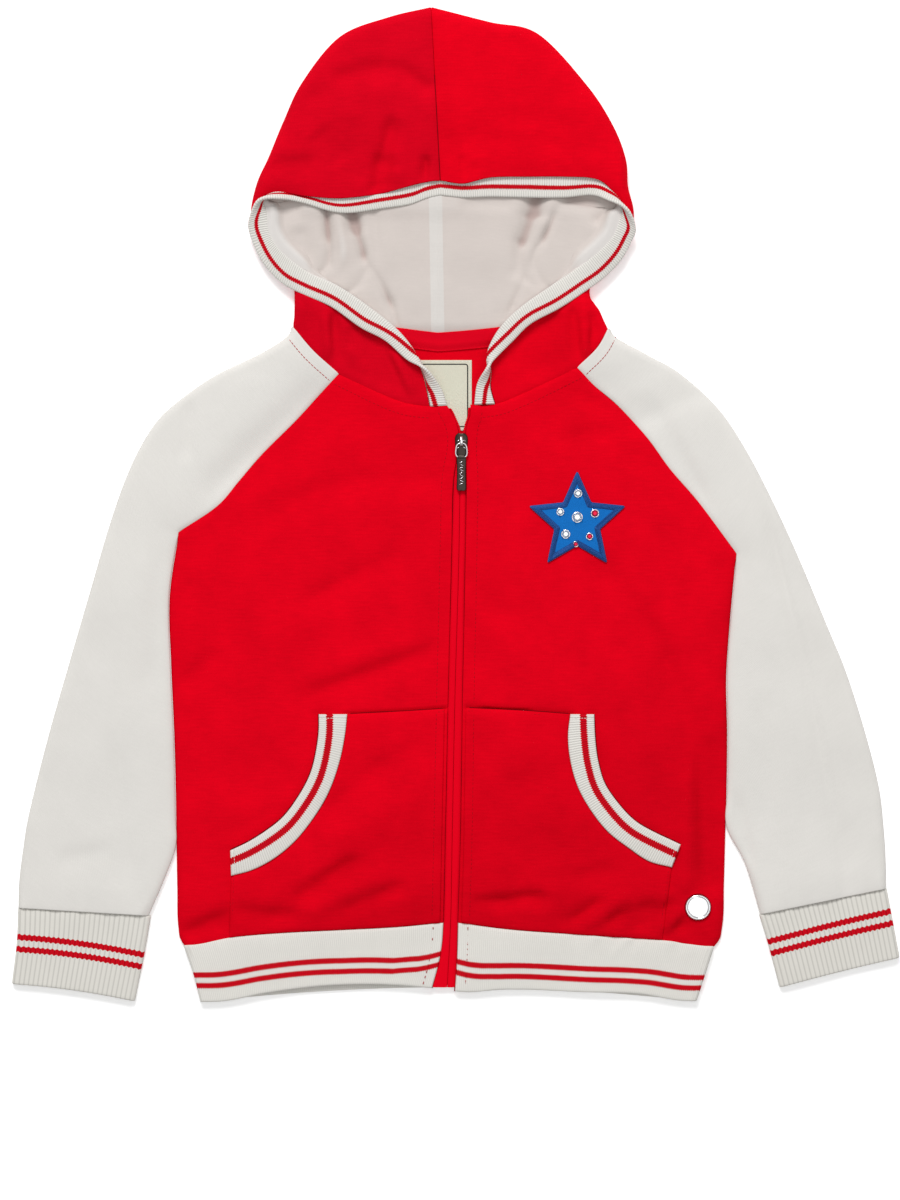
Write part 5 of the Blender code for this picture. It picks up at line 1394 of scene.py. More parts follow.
def hood_lining(side):
    """White half of the lining. Under the crown it runs round inside the outer. Along the rolled sides it
    lies open: the ground, an even curve up to a rounded lip, and along the lip to the trim."""
    rows, number = hood_rows(side, lambda whole: spread(whole, LINING_STEP), longest)
    seam, fold, edge = (rows[:, k:k + 2] for k in (0, 2, 4))
    height, roll, lined = rows[:, 8], rows[:, 10], rows[:, 11]
    inside = sideways(edge, HOOD_MIDDLE)
    inner_fold = fold + LINING_INSET * unit(edge - fold)
    crown = ease((number - CROWN_START) / 3)
    stop = edge - inside * (0.6 * (1 - roll))[:, None]
    plan, z, share = hood_layer(side, rows, number, inner_fold, stop, LINING_FLOOR, LINING_DROP,
                                LINING_GROUND, LINING_TOP)
    from_stop = np.linalg.norm(plan - stop[:, None], axis=2)
    lip_rise = roll * (ROLLED_DROP * roll + LINING_DROP)
    z = z + lip_rise[:, None] * (1 - ease(from_stop / 2.4)) * (share > 0.3)
    total = plan.shape[1]
    foot = edge + inside * LIP_REACH
    whole = np.linalg.norm(foot - seam, axis=1)[:, None]
    out = SEAM_STEPS[-1] + np.linspace(0, 1, LINING_GROUND) * (whole - SEAM_STEPS[-1])
    out = np.concatenate([SEAM_STEPS[:-1] + 0 * whole, out], axis=1) / whole
    on_ground = out.shape[1]
    open_low = seam[:, None] + out[..., None] * (foot - seam)[:, None]
    distance = LIP_REACH * (1 - np.linspace(0, 1, total - on_ground + 1)[1:])
    open_high = edge[:, None] + (distance - 1.2 * ease(1 - distance / 3))[None, :, None] * inside[:, None]
    open_plan = np.concatenate([open_low, open_high], axis=1)
    distance = np.append(np.full(on_ground, LIP_REACH), distance)
    up = 1 - ease((distance - 4) / (LIP_REACH - 5))
    lip = 0.5 * np.exp(-((distance - 3.5) / 3) ** 2)
    base = lining_floor(open_plan[..., 0], open_plan[..., 1])
    open_z = base + (height[:, None] - base) * up + lip
    weight = ease(lined)[:, None]
    plan = weight[..., None] * plan + (1 - weight)[..., None] * open_plan
    x, y = plan[..., 0], plan[..., 1]
    floor_part = (share < 0) * rounding(np.linalg.norm(plan - inner_fold[:, None], axis=2), 14)
    beyond = INWARDS[side] * (x_at([row[1] for row in HOOD[side][:13]], y) - x)
    floor_part = floor_part * (1 - 0.85 * ease(beyond / 6) * (1 - crown)[:, None])
    ground_z = np.where(share < 0, np.maximum(z, z + (lining_floor(x, y) - LINING_FLOOR) * floor_part), z)
    z = weight * ground_z + (1 - weight) * open_z
    beside = np.abs(x - x_at([(-11.5, 106), (-14.8, 296)], y))
    strip = 0.4 * (1 - ease((beside - 3.4) / 0.9)) + dip(beside - 4.4, 0.15, 0.5)
    z = z + strip * (share < 0) * ease((y - 108) / 6)
    grid = lapped(np.dstack([plan, z]), 0, 0, 1.2)
    cloth(f"hood_lining_half_{side}", grid, KNIT, f"hood_lining_{side}", "white_knit", LINING_KNIT,
          ["floor", f"hood_half_{side}"])


def rib_steps(whole):
    """Even distances from 0 to the whole length of a trim, four to each of its ribs."""
    return np.linspace(0, whole, int(whole / (TRIM_PITCH / 4)) + 1)


def hood_trim():
    """Rib trim round the opening, from one front, over the crown, to the other. Each section is a low arch
    from the sewn edge to the free edge; on the crown it starts beneath the red."""
    halves, counts = [], []

    def along_middle(rows):
        middle = np.column_stack([(rows[:, 4:6] + rows[:, 6:8]) / 2, (rows[:, 8] + rows[:, 9]) / 2])
        return chords(middle)

    for side in ("left", "right"):
        rows, number = hood_rows(side, rib_steps, along_middle)
        edge, free = rows[:, 4:6], rows[:, 6:8]
        height, free_height, roll = rows[:, 8], rows[:, 9], rows[:, 10]
        hidden = (1 - roll) * ease((number - 12.3) / 1.2)
        way = free - edge
        start = np.column_stack([edge - way * (0.3 * hidden)[:, None], height - TRIM_HIDDEN * hidden])
        end = np.column_stack([free, free_height])
        v = spread(TRIM_WIDTH, TRIM_STEP, RIB_STEPS) / TRIM_WIDTH
        section = start[:, None] + v[None, :, None] * (end - start)[:, None]
        arch = np.sin(np.pi * v) * TRIM_ARCH * (1 - 0.5 * hidden)[:, None]
        soft = uneven(section[..., 0], section[..., 1], "trim") * v
        section[..., 2] += arch + soft
        halves.append(section)
        counts.append(y_at(STRIPE_FREE[side], number))
    grid = np.concatenate([halves[0], halves[1][-2::-1]]).transpose(1, 0, 2)
    rib, across, from_free = ribbed(grid, TRIM_PITCH, 4, 0.13)
    free_white = np.concatenate([counts[0], counts[1][-2::-1]])
    pattern = (across, from_free * HOOD_STRIPE / free_white)
    cloth("hood_trim_rib", grid, RIB, "hood_trim", "white_rib", TRIM_RIB,
          ["hood_half_left", "hood_half_right"], relief=rib, relief_under=rib, uv=pattern)


# ------------------------------------------------------------------ pockets


POCKET_TRIM_WIDTH = 16
POCKET_SIZE, POCKET_STEP = 66, 2.6      # a pocket's usual width, and the step of its grid
POCKET_FULL = 0.8       # how much a pocket's middle stands above its edges


def pocket(side):
    """Patch pocket on the front's own height, a little full between its edges."""
    way = INWARDS[side]
    inner = sampled(TRIM_INNER[side], 80)
    near = np.vstack([inner, POCKET_SEAM_END[side]])
    gone = chords(near)
    at = spread(gone[-1], POCKET_STEP)
    near = along_line(near, gone, at)
    v = (near[0, 1] - near[:, 1]) / (near[0, 1] - near[-1, 1])
    u = spread(POCKET_SIZE, POCKET_STEP)
    u = u / u[-1]
    far_y = POCKET_TOP[side][-1][1] + v * (POCKET_ZIP_LOW - POCKET_TOP[side][-1][1])
    far = np.column_stack([x_at(ZIP_EDGE[side], far_y) - way * 2.2, far_y])
    top = smooth(POCKET_TOP[side], u)
    low_x = near[-1, 0] + u * (far[-1, 0] - near[-1, 0])
    low = np.column_stack([low_x, y_at(sampled(HEM_SEAM[side])[::way], low_x) + 0.3])
    near[:, 1] += (low[0, 1] - near[-1, 1]) * ease((-245 - near[:, 1]) / 30)
    far[:, 1] += (low[-1, 1] - far[-1, 1]) * v
    plan = blended(top, low, near, far, u, v)
    x, y = plan[..., 0], plan[..., 1]
    fuller = POCKET_FULL * np.sin(np.pi * np.clip(u, 0, 1)) ** 0.7
    fuller = fuller * np.sin(np.pi * np.clip(v, 0, 1))[:, None] ** 0.6
    z = front_height(side, x, y) + KNIT + 0.1 + fuller + uneven(x, y, "pocket")
    z = z + dip(from_line(x, y, inner), 0.7, 1.5)
    z = z + dip(from_line(x, y, top) - 2.3, 0.5, 0.8) + dip(from_line(x, y, low), 0.5, 1.4)
    grid = np.dstack([plan, z])
    cloth(f"pocket_patch_{side}", grid, KNIT, f"pocket_{side}", "red_knit", RED_KNIT, [f"front_{side}"],
          uv=(x, y))


def pocket_trim(side):
    """Rib trim along the pocket's curved opening, a low arch that rises a little to its free edge."""
    fine = np.linspace(0, 1, 300)
    inner, outer = smooth(TRIM_INNER[side], fine), smooth(TRIM_OUTER[side], fine)
    gone = chords((inner + outer) / 2)
    even = rib_steps(gone[-1])
    where = np.interp(even, gone, fine)
    inner, outer = smooth(TRIM_INNER[side], where), smooth(TRIM_OUTER[side], where)
    v = spread(POCKET_TRIM_WIDTH, TRIM_STEP, RIB_STEPS) / POCKET_TRIM_WIDTH
    plan = inner[:, None] + v[None, :, None] * (outer - inner)[:, None]
    x, y = plan[..., 0], plan[..., 1]
    from_end = np.minimum(even, even[-1] - even)[:, None]
    z = body_height(x, y) + KNIT / 2 + RIB / 2 + 0.15 + 0.5 * np.sin(np.pi * v) + 1.1 * v
    z = z + dip(from_end - 2.6, 0.3, 0.7)
    grid = np.dstack([plan, z]).transpose(1, 0, 2)
    rib, *pattern = ribbed(grid, TRIM_PITCH, 4, 0.13)
    cloth(f"pocket_rib_{side}", grid, RIB, f"pocket_trim_{side}", "white_rib", POCKET_RIB,
          [f"front_{side}"], relief=rib, uv=pattern)


# ------------------------------------------------------------------ zip

GAP_HALF = 0.08     # half the slit between the closed tapes
TAPE_MID = LAY - KNIT / 2 - TAPE / 2 - 0.35
SLIDER_TOP = (3.7, 46.5)
SLIDER_SIZE = (8.5, 15.0)
PLATE_HEIGHT = LAY + KNIT / 2 + 1.75
HINGE = (SLIDER_TOP[0], 40.0, 8.75)
PULL_LENGTH, PULL_WIDTH, LOOP_LENGTH, LOOP_WIDTH = 30.8, 6.2, 9.0, 7.2
DROOP = np.radians(3)
PLATE_CORNER, TAB_CORNER = 2.4, 1.6     # radius of the corners of the slider's plates and of the pull's tab
RIM_HEIGHT, BORDER_HEIGHT = 0.16, 0.22  # the raised borders of the same
GROOVE_PITCH, GROOVE_DEPTH = 1.9, 0.1
TEETH_PITCH = 1.15
TEETH_TOP = 62
ZIP_PARTS = 34          # y at which the slider has let go of the teeth, so that the tapes part
ZIP_TAPE_WIDTH = 10
ZIP_TAPE_UNDER = 5      # how much of a tape is hidden beneath the front's edge


def hard(piece, body, slot, finish, *nodes):
    """Gives a hard piece its finish, puts it under its body, and hides the CAD nodes that it stands for."""
    piece.data.materials.append(finish)
    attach(piece, body)
    if nodes:
        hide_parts(*nodes)


def zip_line(side, y):
    """x of a tape's toothed edge: closed below the slider, along the front's edge above it."""
    way = INWARDS[side]
    half_gap = GAP_HALF + 0.5 * ease((y - ZIP_PARTS) / 10)
    closed = edge_at(ZIP_GAP, np.minimum(y, ZIP_GAP[-1][1])) - way * half_gap
    opened = x_at(ZIP_EDGE[side], y) + way * 1.2
    return closed + (opened - closed) * ease((y - ZIP_PARTS - 10) / 8)


def zip_tape(side):
    """Woven tape from beneath the front's edge to its toothed edge, with a low ridge over the teeth."""
    way = INWARDS[side]
    bottom, top = ZIP_GAP[0][1], ZIP_EDGE[side][-1][1] - 1.5
    y = bottom + spread(top - bottom, 3.0, EDGE_STEPS * 0.6)
    inner = zip_line(side, y)
    shown = x_at(HEM_ZIP[side][::-1] + ZIP_EDGE[side][1:], y)[:, None]
    outer = shown - way * ZIP_TAPE_UNDER
    v = spread(ZIP_TAPE_WIDTH, 0.8, EDGE_STEPS * 0.4) / ZIP_TAPE_WIDTH
    x = outer + v * (inner[:, None] - outer)
    rise = 1.5 * ease((x - shown) * way / 1.5 + 0.1)
    over_teeth = 0.4 * np.exp(-((x - inner[:, None]) / 0.6) ** 2)
    z = TAPE_MID + rise - over_teeth + uneven(x, y[:, None], "zip")
    grid = np.dstack([x, np.broadcast_to(y[:, None], x.shape), z])
    cloth(f"zip_tape_cloth_{side}", grid, TAPE, f"zip_tape_{side}", "red_tape", ZIP_TAPE, [f"front_{side}"],
          uv=(x, grid[..., 1]))


def bead_rings(length, radius, around=6):
    """Rings of a capsule along X: three circles, the outer two smaller, and a point closes each end."""
    rings = []
    for at, size in ((-0.86, 0.55), (-0.6, 0.95), (0.6, 0.95), (0.86, 0.55)):
        ring = radius * size * np.array(circle(around))
        rings.append(np.column_stack([np.full(around, at * length / 2), *ring]))
    return np.array(rings)


def placed(rings, places, ways, lift=(0, 0, 1)):
    """Copies of a small shape, one at each place, X turned along the way there and Z towards `lift`."""
    ways = unit(ways)
    side = unit(np.cross(np.broadcast_to(lift, ways.shape), ways))
    axes = np.stack([ways, side, np.cross(ways, side)], axis=1)
    return np.einsum("rcj,njk->nrck", rings, axes) + places[:, None, None]


def stitches(name, line, thread=RED_THREAD, slot="red_knit", pitch=2.7, length=1.9, radius=0.24):
    """A row of stitches along a line of points (x, y, z), each a short capsule sunk into the cloth."""
    gone = chords(line)
    count = max(int(gone[-1] / pitch), 1)
    at = (np.arange(count) + 0.5) * gone[-1] / count
    point, ahead, behind = (along_line(line, gone, at + further) for further in (0, 0.3, -0.3))
    piece = solid(name, placed(bead_rings(length, radius), point, ahead - behind))
    hard(piece, "jacket", slot, thread)


def painted_shadow_line(name, line, radius):
    """A painted shadow: a dark line of stitches that run into each other, laid in a seam or along a folded
    edge where there is only shade.
    """
    stitches(name, line, SHADOW_LINE_RED, pitch=1.5, length=2.0, radius=radius)


def zip_teeth():
    """Coil teeth of both tapes: short slanting loops that lie between each other below the slider."""
    for side, way in INWARDS.items():
        offset = 0.5 * TEETH_PITCH if side == "left" else 0
        y = np.arange(ZIP_GAP[0][1] + 2, TEETH_TOP, TEETH_PITCH) + offset
        x = zip_line(side, y) - way * 0.15
        point = np.column_stack([x, y, np.full_like(y, TAPE_MID - 0.25)])
        lean = np.column_stack([np.full_like(y, 1.0), np.full_like(y, -0.25 * way), 0 * y])
        piece = solid(f"zip_teeth_{side}", placed(bead_rings(1.7, 0.42), point, lean))
        # The teeth in the lighter red: painted highlight
        hard(piece, "jacket", "red_tape", TEETH_THREAD)


# Steps across a plate, from -1 to 1
PLATE_STEPS = spread(2, 0.12, np.array([0, 0.012, 0.05, 0.12, 0.22, 0.36])) - 1


def rounded_plate(name, half, y, z, wall, dome, relief=0.0):
    """Metal plate from rows of half width, y and z: its edges are round, and it has a dome across it."""
    u = PLATE_STEPS
    x = half[:, None] * u
    grid = np.dstack([x, np.broadcast_to(y[:, None], x.shape), z[:, None] + dome * (1 - u * u) + 0 * x])
    return slab(name, grid, wall, relief=relief)


def ended(length, corner, steps=7, middle=26):
    """Distances along a plate with round corners, close together there, and how far the nearer end is."""
    turn = np.linspace(0, np.pi / 2, steps)
    near = corner * (1 - np.cos(turn))
    at = np.concatenate([near, np.linspace(corner, length - corner, middle)[1:-1], length - near[::-1]])
    return at, np.minimum(at, length - at)


def moved(piece, points_change):
    """Replaces a piece's points (mm) by what the function makes of them."""
    points = np.empty(len(piece.data.vertices) * 3)
    piece.data.vertices.foreach_get("co", points)
    points = points_change(points.reshape(-1, 3) / MM) * MM
    piece.data.vertices.foreach_set("co", points.ravel())
    piece.data.update()


def slider():
    """Slider: a domed upper plate like a shield, a lower plate, the post between them, the pull's bridge."""
    width, length = SLIDER_SIZE
    x, top = SLIDER_TOP
    at, from_end = ended(length, PLATE_CORNER)
    shape = np.interp(at / length, (0, 0.22, 0.45, 0.75, 1), (0.44, 0.5, 0.485, 0.43, 0.40)) * width
    half = shape - PLATE_CORNER * (1 - rounding(from_end, PLATE_CORNER))
    rim = RIM_HEIGHT * np.exp(-((from_end[:, None] - 0.9) / 0.4) ** 2)
    for name, height, wall, dome, share, *nodes in (
            ("slider_plate", PLATE_HEIGHT - 0.25, 1.1, 0.5, 1.0, "zip_slider"),
            ("slider_lower", TAPE_MID - TAPE / 2 - 0.75, 0.6, -0.2, 0.92)):
        piece = rounded_plate(name, half * share, top - at, np.full_like(at, height), wall, dome, rim)
        moved(piece, lambda p: p + (x, 0, 0))
        hard(piece, "jacket", "dark_metal", DARK_METAL, *nodes)
    c, s = circle(16)
    post = [np.column_stack([x + 0.5 * c, top - 2 + 1.1 * s, np.full(16, z)])
            for z in (TAPE_MID - 1.0, PLATE_HEIGHT - 0.3)]
    hard(solid("slider_post", np.array(post)), "jacket", "dark_metal", DARK_METAL)
    turn = np.linspace(0, np.pi, 15)
    near, far = HINGE[1] - 1.7, HINGE[1] + 4.4
    middle, reach = (near + far) / 2, (far - near) / 2
    y = middle - reach * np.cos(turn)
    z = PLATE_HEIGHT - 0.2 + (HINGE[2] + 1.4 - PLATE_HEIGHT + 0.2) * np.sin(turn) ** 0.45
    path = np.column_stack([np.full_like(y, x), y, z])
    hard(solid("slider_bridge", rod(path, 1.0, 0.42)), "jacket", "dark_metal", SETTING_METAL)
    way, step = np.repeat([-1, 1], 3), np.tile(np.arange(3), 2)
    height = PLATE_HEIGHT + 0.72 - 0.05 * step
    wings = np.column_stack([x + way * (1.9 + 0.2 * step), top - 4.6 - 2.4 * step, height])
    ways = np.column_stack([np.full(6, 1.0), -0.5 * way, np.zeros(6)])
    ribs = solid("slider_ribs", placed(bead_rings(2.2, 0.28, 8), wings, ways))
    hard(ribs, "jacket", "dark_metal", SETTING_METAL)


def rod(path, half_width, half_height, around=12, wide=(1, 0, 0)):
    """Rings of a rod along a path with a rounded rectangular section: `wide` is the way of its width."""
    way = unit(np.gradient(path, axis=0))
    side = np.broadcast_to(np.asarray(wide, float), way.shape)
    side = unit(side - (side * way).sum(1)[:, None] * way)
    up = np.cross(way, side)
    c, s = (np.sign(f) * np.abs(f) ** 0.6 for f in circle(around))
    return (path[:, None] + half_width * c[None, :, None] * side[:, None]
            + half_height * s[None, :, None] * up[:, None])


def pull():
    """Pull: a ring through the slider's bridge, a barrel folded round the ring, and a long tab with a
    raised border and a plain waisted band of grooves. It is made lying along Y from the hinge, then drooped
    and moved there."""
    turn = np.linspace(0, 2 * np.pi, 49)[:-1]
    c, s = (np.sign(f) * np.abs(f) ** 0.62 for f in (np.cos(turn), np.sin(turn)))
    ring_y = -LOOP_LENGTH / 2 + LOOP_LENGTH / 2 * s
    ring = np.column_stack([LOOP_WIDTH / 2 * c * (1 - 0.1 * s), ring_y, 0 * turn])
    out = unit(np.column_stack([c, s, 0 * turn]))
    across, up = circle(10)
    rings = (ring[:, None] + 0.6 * across[None, :, None] * out[:, None]
             + 0.6 * up[None, :, None] * np.array([0, 0, 1.0]))
    index = np.arange(480).reshape(48, 10)
    index = looped(np.concatenate([index, index[:1]]))
    loop = put("pull_ring", rings.reshape(-1, 3), cells(index))
    length = PULL_LENGTH - LOOP_LENGTH + 1.2
    at, from_end = ended(length, TAB_CORNER, 8, 60)
    waist = 1 - 0.07 * np.sin(np.pi * np.clip((at - 2) / (length - 4), 0, 1)) ** 2
    half = PULL_WIDTH / 2 * waist - TAB_CORNER * (1 - rounding(from_end, TAB_CORNER))
    from_side = half[:, None] * (1 - np.abs(PLATE_STEPS))
    border = np.minimum(from_side, from_end[:, None])
    raised = BORDER_HEIGHT * np.exp(-((border - 0.75) / 0.36) ** 2)
    inside = ease((border - 1.3) / 0.4)
    grooved = np.cos(2 * np.pi * at / GROOVE_PITCH) * ease(8.5 - np.abs(at - length / 2))
    groove = GROOVE_DEPTH * inside * grooved[:, None]
    tab = rounded_plate("pull_tab", half, -LOOP_LENGTH + 1.2 - at, 0 * at, 1.0, 0.12, raised + groove)
    x = np.linspace(-2.2, 2.2, 9)
    path = np.column_stack([x, np.full(9, -LOOP_LENGTH), 0 * x])
    barrel = solid("pull_barrel", rod(path, 1.15, 0.75, 14, (0, 1, 0)))

    y = -LOOP_LENGTH + 1.2 - length / 2 + np.arange(-4, 5) * 1.75
    spots = np.column_stack([np.where(np.arange(9) % 2 == 0, -0.35, 0.35), y, np.full(9, 0.72)])
    ways = np.column_stack([np.full(9, 1.0), np.where(np.arange(9) % 2 == 0, 0.55, -0.55), np.zeros(9)])
    bars = solid("pull_ribs", placed(bead_rings(2.8, 0.3, 8), spots, ways))

    def hung(p):
        y = p[:, 1] * np.cos(DROOP) - p[:, 2] * np.sin(DROOP)
        z = p[:, 1] * np.sin(DROOP) + p[:, 2] * np.cos(DROOP)
        return np.column_stack([p[:, 0], y, z]) + HINGE

    for piece, finish, *nodes in ((loop, SETTING_METAL), (barrel, DARK_METAL), (tab, DARK_METAL, "zip_pull"),
                                  (bars, SETTING_METAL)):
        moved(piece, hung)
        hard(piece, "pull", "dark_metal", finish, *nodes)


# ------------------------------------------------------------------ disc, star and stones

STAR = (79.0, -11.0)
STAR_RADIUS, STAR_WAIST = 33.0, 0.47
STAR_BORDER = 3.4
STONES = [
    (0, 3, 3.2), (-11, 6.5, 2.2), (11.5, 5.5, 2.4), (0.5, 18.5, 2.4), (-7.5, -8, 2.6), (8, -9.5, 2),
    (-1, -14.5, 1.6),
]
RED_STONES = (2, 5, 6)
FELT = 1.2


def turned(name, profile, centre, around, flat=False):
    """A round piece turned about a vertical line: its profile is rows of radius and height."""
    c, s = circle(around)
    r, z = np.array(profile, float).T
    x, y = centre[0] + r[:, None] * c, centre[1] + r[:, None] * s
    return solid(name, np.dstack([x, y, np.broadcast_to(z[:, None], x.shape)]), flat)


def disc():
    """Polished disc with a rolled rim, a shallow groove inside it and a low dome."""
    r = BADGE_RADIUS
    turn = np.linspace(0, 2 * np.pi, 24)
    under = front_height("right", BADGE[0] + r * np.cos(turn), BADGE[1] + r * np.sin(turn))
    base = under.max() + KNIT / 2 - 0.2
    turn = np.linspace(-np.pi / 2, np.pi, 15)
    rim = np.column_stack([r - 0.75 + 0.75 * np.cos(turn), 0.75 + 0.75 * np.sin(turn)])
    face = np.linspace(r - 1.75, 0.4, 14)
    dome = np.column_stack([face, 0.75 + 0.35 * np.sqrt(np.maximum(1 - (face / r) ** 2, 0))])
    profile = np.vstack([[(0.5, 0), (r * 0.5, 0)], rim, dome]) + (0, base)
    piece = turned("badge_disc_polished", profile, BADGE, 96)
    hard(piece, "jacket", "polished_metal", MIRROR_METAL, "badge_disc")


def star_outline(count=400, soften=1.1):
    """Five-pointed star, its corners softened by averaging along its outline over a few millimetres."""
    turn = np.pi / 2 + np.arange(11) * np.pi / 5
    radius = STAR_RADIUS * np.where(np.arange(11) % 2 == 0, 1, STAR_WAIST)
    corner = np.column_stack([radius * np.cos(turn), radius * np.sin(turn)])
    gone = chords(corner)
    at = np.arange(count) * gone[-1] / count
    line = along_line(corner, gone, at)
    reach = int(3 * soften / (gone[-1] / count))
    weight = np.exp(-(np.arange(-reach, reach + 1) * gone[-1] / count / soften) ** 2)
    return sum(w * np.roll(line, k, axis=0) for k, w in zip(range(-reach, reach + 1), weight)) / weight.sum()


def star():
    """Felt star with a satin-stitched border, a ridge of threads across its edge."""
    tip = np.array([0, STAR_RADIUS])
    notch = STAR_RADIUS * STAR_WAIST * np.array([-np.sin(np.pi / 5), np.cos(np.pi / 5)])
    edge_off = abs(tip[0] * notch[1] - tip[1] * notch[0]) / np.hypot(*(tip - notch))
    outline = star_outline()
    middle = np.array(STAR)

    def lay_at(plan):
        return body_height(plan[..., 0], plan[..., 1]) + KNIT / 2

    size = np.concatenate([np.linspace(0.05, 1 - 2.2 / edge_off, 12), [1 - 1.9 / edge_off]])
    plan = middle + size[:, None, None] * outline[None]
    low = np.dstack([plan, lay_at(plan) + 0.1])
    high = np.dstack([plan, lay_at(plan) + FELT + uneven(plan[..., 0], plan[..., 1], "star")])
    felt = solid("star_felt", np.concatenate([low, high[::-1]]))
    hard(felt, "jacket", "blue_felt", BLUE_FELT, "star_patch")
    v = np.concatenate([[0, 0.03, 0.1, 0.22], np.linspace(0.35, 0.65, 3), [0.78, 0.9, 0.97, 1]])
    size = 1 - v * STAR_BORDER / edge_off
    plan = middle + size[:, None, None] * outline[None]
    thread = 0.05 * np.cos(np.arange(outline.shape[0]) * np.pi)
    z = lay_at(plan) + 0.5 + 1.0 * np.sin(np.pi * v)[:, None] ** 0.6 * (1 + thread)
    grid = np.dstack([plan, z])
    piece = slab("star_border", grid, 0.9, closed=True)
    hard(piece, "jacket", "blue_felt", SATIN)


def stones():
    """Cut stones, each a faceted cone with a flat table, held by four claws on a small cup."""
    for number, (dx, dy, size) in enumerate(STONES, 1):
        x, y = STAR[0] + dx, STAR[1] + dy
        base = body_height(np.array([x]), np.array([y]))[0] + KNIT / 2 + FELT + 0.05
        profile = [(size * 0.8, base), (size, base + 0.3), (size, base + 0.45),
                   (size * 0.78, base + 0.62 * size), (size * 0.5, base + 0.8 * size),
                   (size * 0.2, base + 0.8 * size)]
        finish = RED_STONE if number - 1 in RED_STONES else CLEAR_STONE
        stone = turned(f"cut_stone_{number}", profile, (x, y), 8, flat=True)
        hard(stone, "jacket", "cut_stone", finish, f"stone_{number}")
        cup = [(size * 0.6, base - 0.1), (size + 0.35, base - 0.05), (size + 0.45, base + 0.25),
               (size + 0.2, base + 0.42), (size * 0.9, base + 0.3)]
        hard(turned(f"stone_cup_{number}", cup, (x, y), 20), "jacket", "polished_metal", SETTING_METAL)
        turn = np.pi / 4 + np.arange(4) * np.pi / 2 + 0.3 * number
        out = np.column_stack([np.cos(turn), np.sin(turn), 0 * turn])
        place = out * size * 0.98 + (x, y, base + 0.5 * size)
        claw = placed(bead_rings(1.15 + 0.35 * size, 0.36), place, out * (-0.5) + (0, 0, 1), (0.3, 0.1, 0))
        hard(solid(f"stone_claws_{number}", claw), "jacket", "polished_metal", SETTING_METAL)


# ------------------------------------------------------------------ label, tape and stitches

LABEL = ((-26.5, 48.5), (10.5, 94.5))
LABEL_WALL = 0.5
TAPE_ENDS, TAPE_WIDTH = (-48, 42), 12      # of the herringbone tape
LABEL_WAVE = 0.12       # how much the label stands off the cloth on the average


def label():
    """Blank woven label on the back panel, a little wavy."""
    (x0, y0), (x1, y1) = LABEL
    x, y = x0 + spread(x1 - x0, 1.6, EDGE_STEPS * 0.4), y0 + spread(y1 - y0, 1.6, EDGE_STEPS * 0.4)
    x, y = np.meshgrid(x, y)

    def raised(x, y):
        return KNIT + 0.1 + LABEL_WAVE * (1 + waver(x, y, 30, 81))

    grid = np.dstack([x, y, raised(x, y) + LABEL_WALL / 2])
    cloth("label_cloth", grid, LABEL_WALL, "label", "label_weave", LABEL_WEAVE, ["back_panel"],
          uv=(x - x0, y - y0))
    x0, y0, x1, y1 = x0 + 1, y0 + 1, x1 - 1, y1 - 1
    corners = [(x0, y0), (x1, y0), (x1, y1), (x0, y1), (x0, y0)]
    line = along_line(corners, np.arange(5), np.linspace(0, 4, 200))
    top = raised(line[:, 0], line[:, 1]) + LABEL_WALL - 0.02
    stitches("label_stitches", np.column_stack([line, top]), WHITE_THREAD, "label_weave", 2.4, 1.6, 0.2)


def neck_tape():
    """Herringbone tape over the back neck seam, with a line of stitches along each edge."""
    x = TAPE_ENDS[0] + spread(TAPE_ENDS[1] - TAPE_ENDS[0], 2.0, EDGE_STEPS * 0.6)
    v = spread(TAPE_WIDTH, 1.2, EDGE_STEPS * 0.6) - TAPE_WIDTH / 2
    seam = y_at([NECK["left"][0], BACK_NECK_MIDDLE, NECK["right"][0]], x)
    on_back = KNIT + 0.25 + TAPE / 2
    y = seam[None, :] + v[:, None] + 1.2 * ((x + 3) / 45) ** 2
    x = np.broadcast_to(x, y.shape)
    on_lining = lining_floor(x, y) + KNIT / 2 + 0.25 + TAPE / 2
    from_lower = v[:, None] + TAPE_WIDTH / 2
    z = on_back + (on_lining - on_back) * ease(from_lower / 5) + uneven(x, y, "neck_tape")
    grid = np.dstack([x, y, z])
    cloth("neck_tape_cloth", grid, TAPE, "neck_tape", "red_tape", NECK_TAPE,
          ["back_panel", "hood_lining_half_left"], uv=(x, from_lower))
    for name, at in (("upper", -4), ("lower", 3)):
        line = grid[at, 6:-6] + (0, 0, TAPE / 2)
        stitches(f"neck_tape_stitches_{name}", line, TEETH_THREAD, "red_tape", 2.4, 1.7, 0.16)


def on_cloth(line, node, over):
    """A line in plan lifted onto a laid piece: `over` above the mean height of its four nearest points."""
    points = LAID[node].reshape(-1, 3)
    away = ((line[:, None] - points[None, :, :2]) ** 2).sum(2)
    near = np.argpartition(away, 4, axis=1)[:, :4]
    weight = 1 / (np.take_along_axis(away, near, axis=1) + 0.05)
    z = (points[near, 2] * weight).sum(1) / weight.sum(1)
    return np.column_stack([line, z + over])


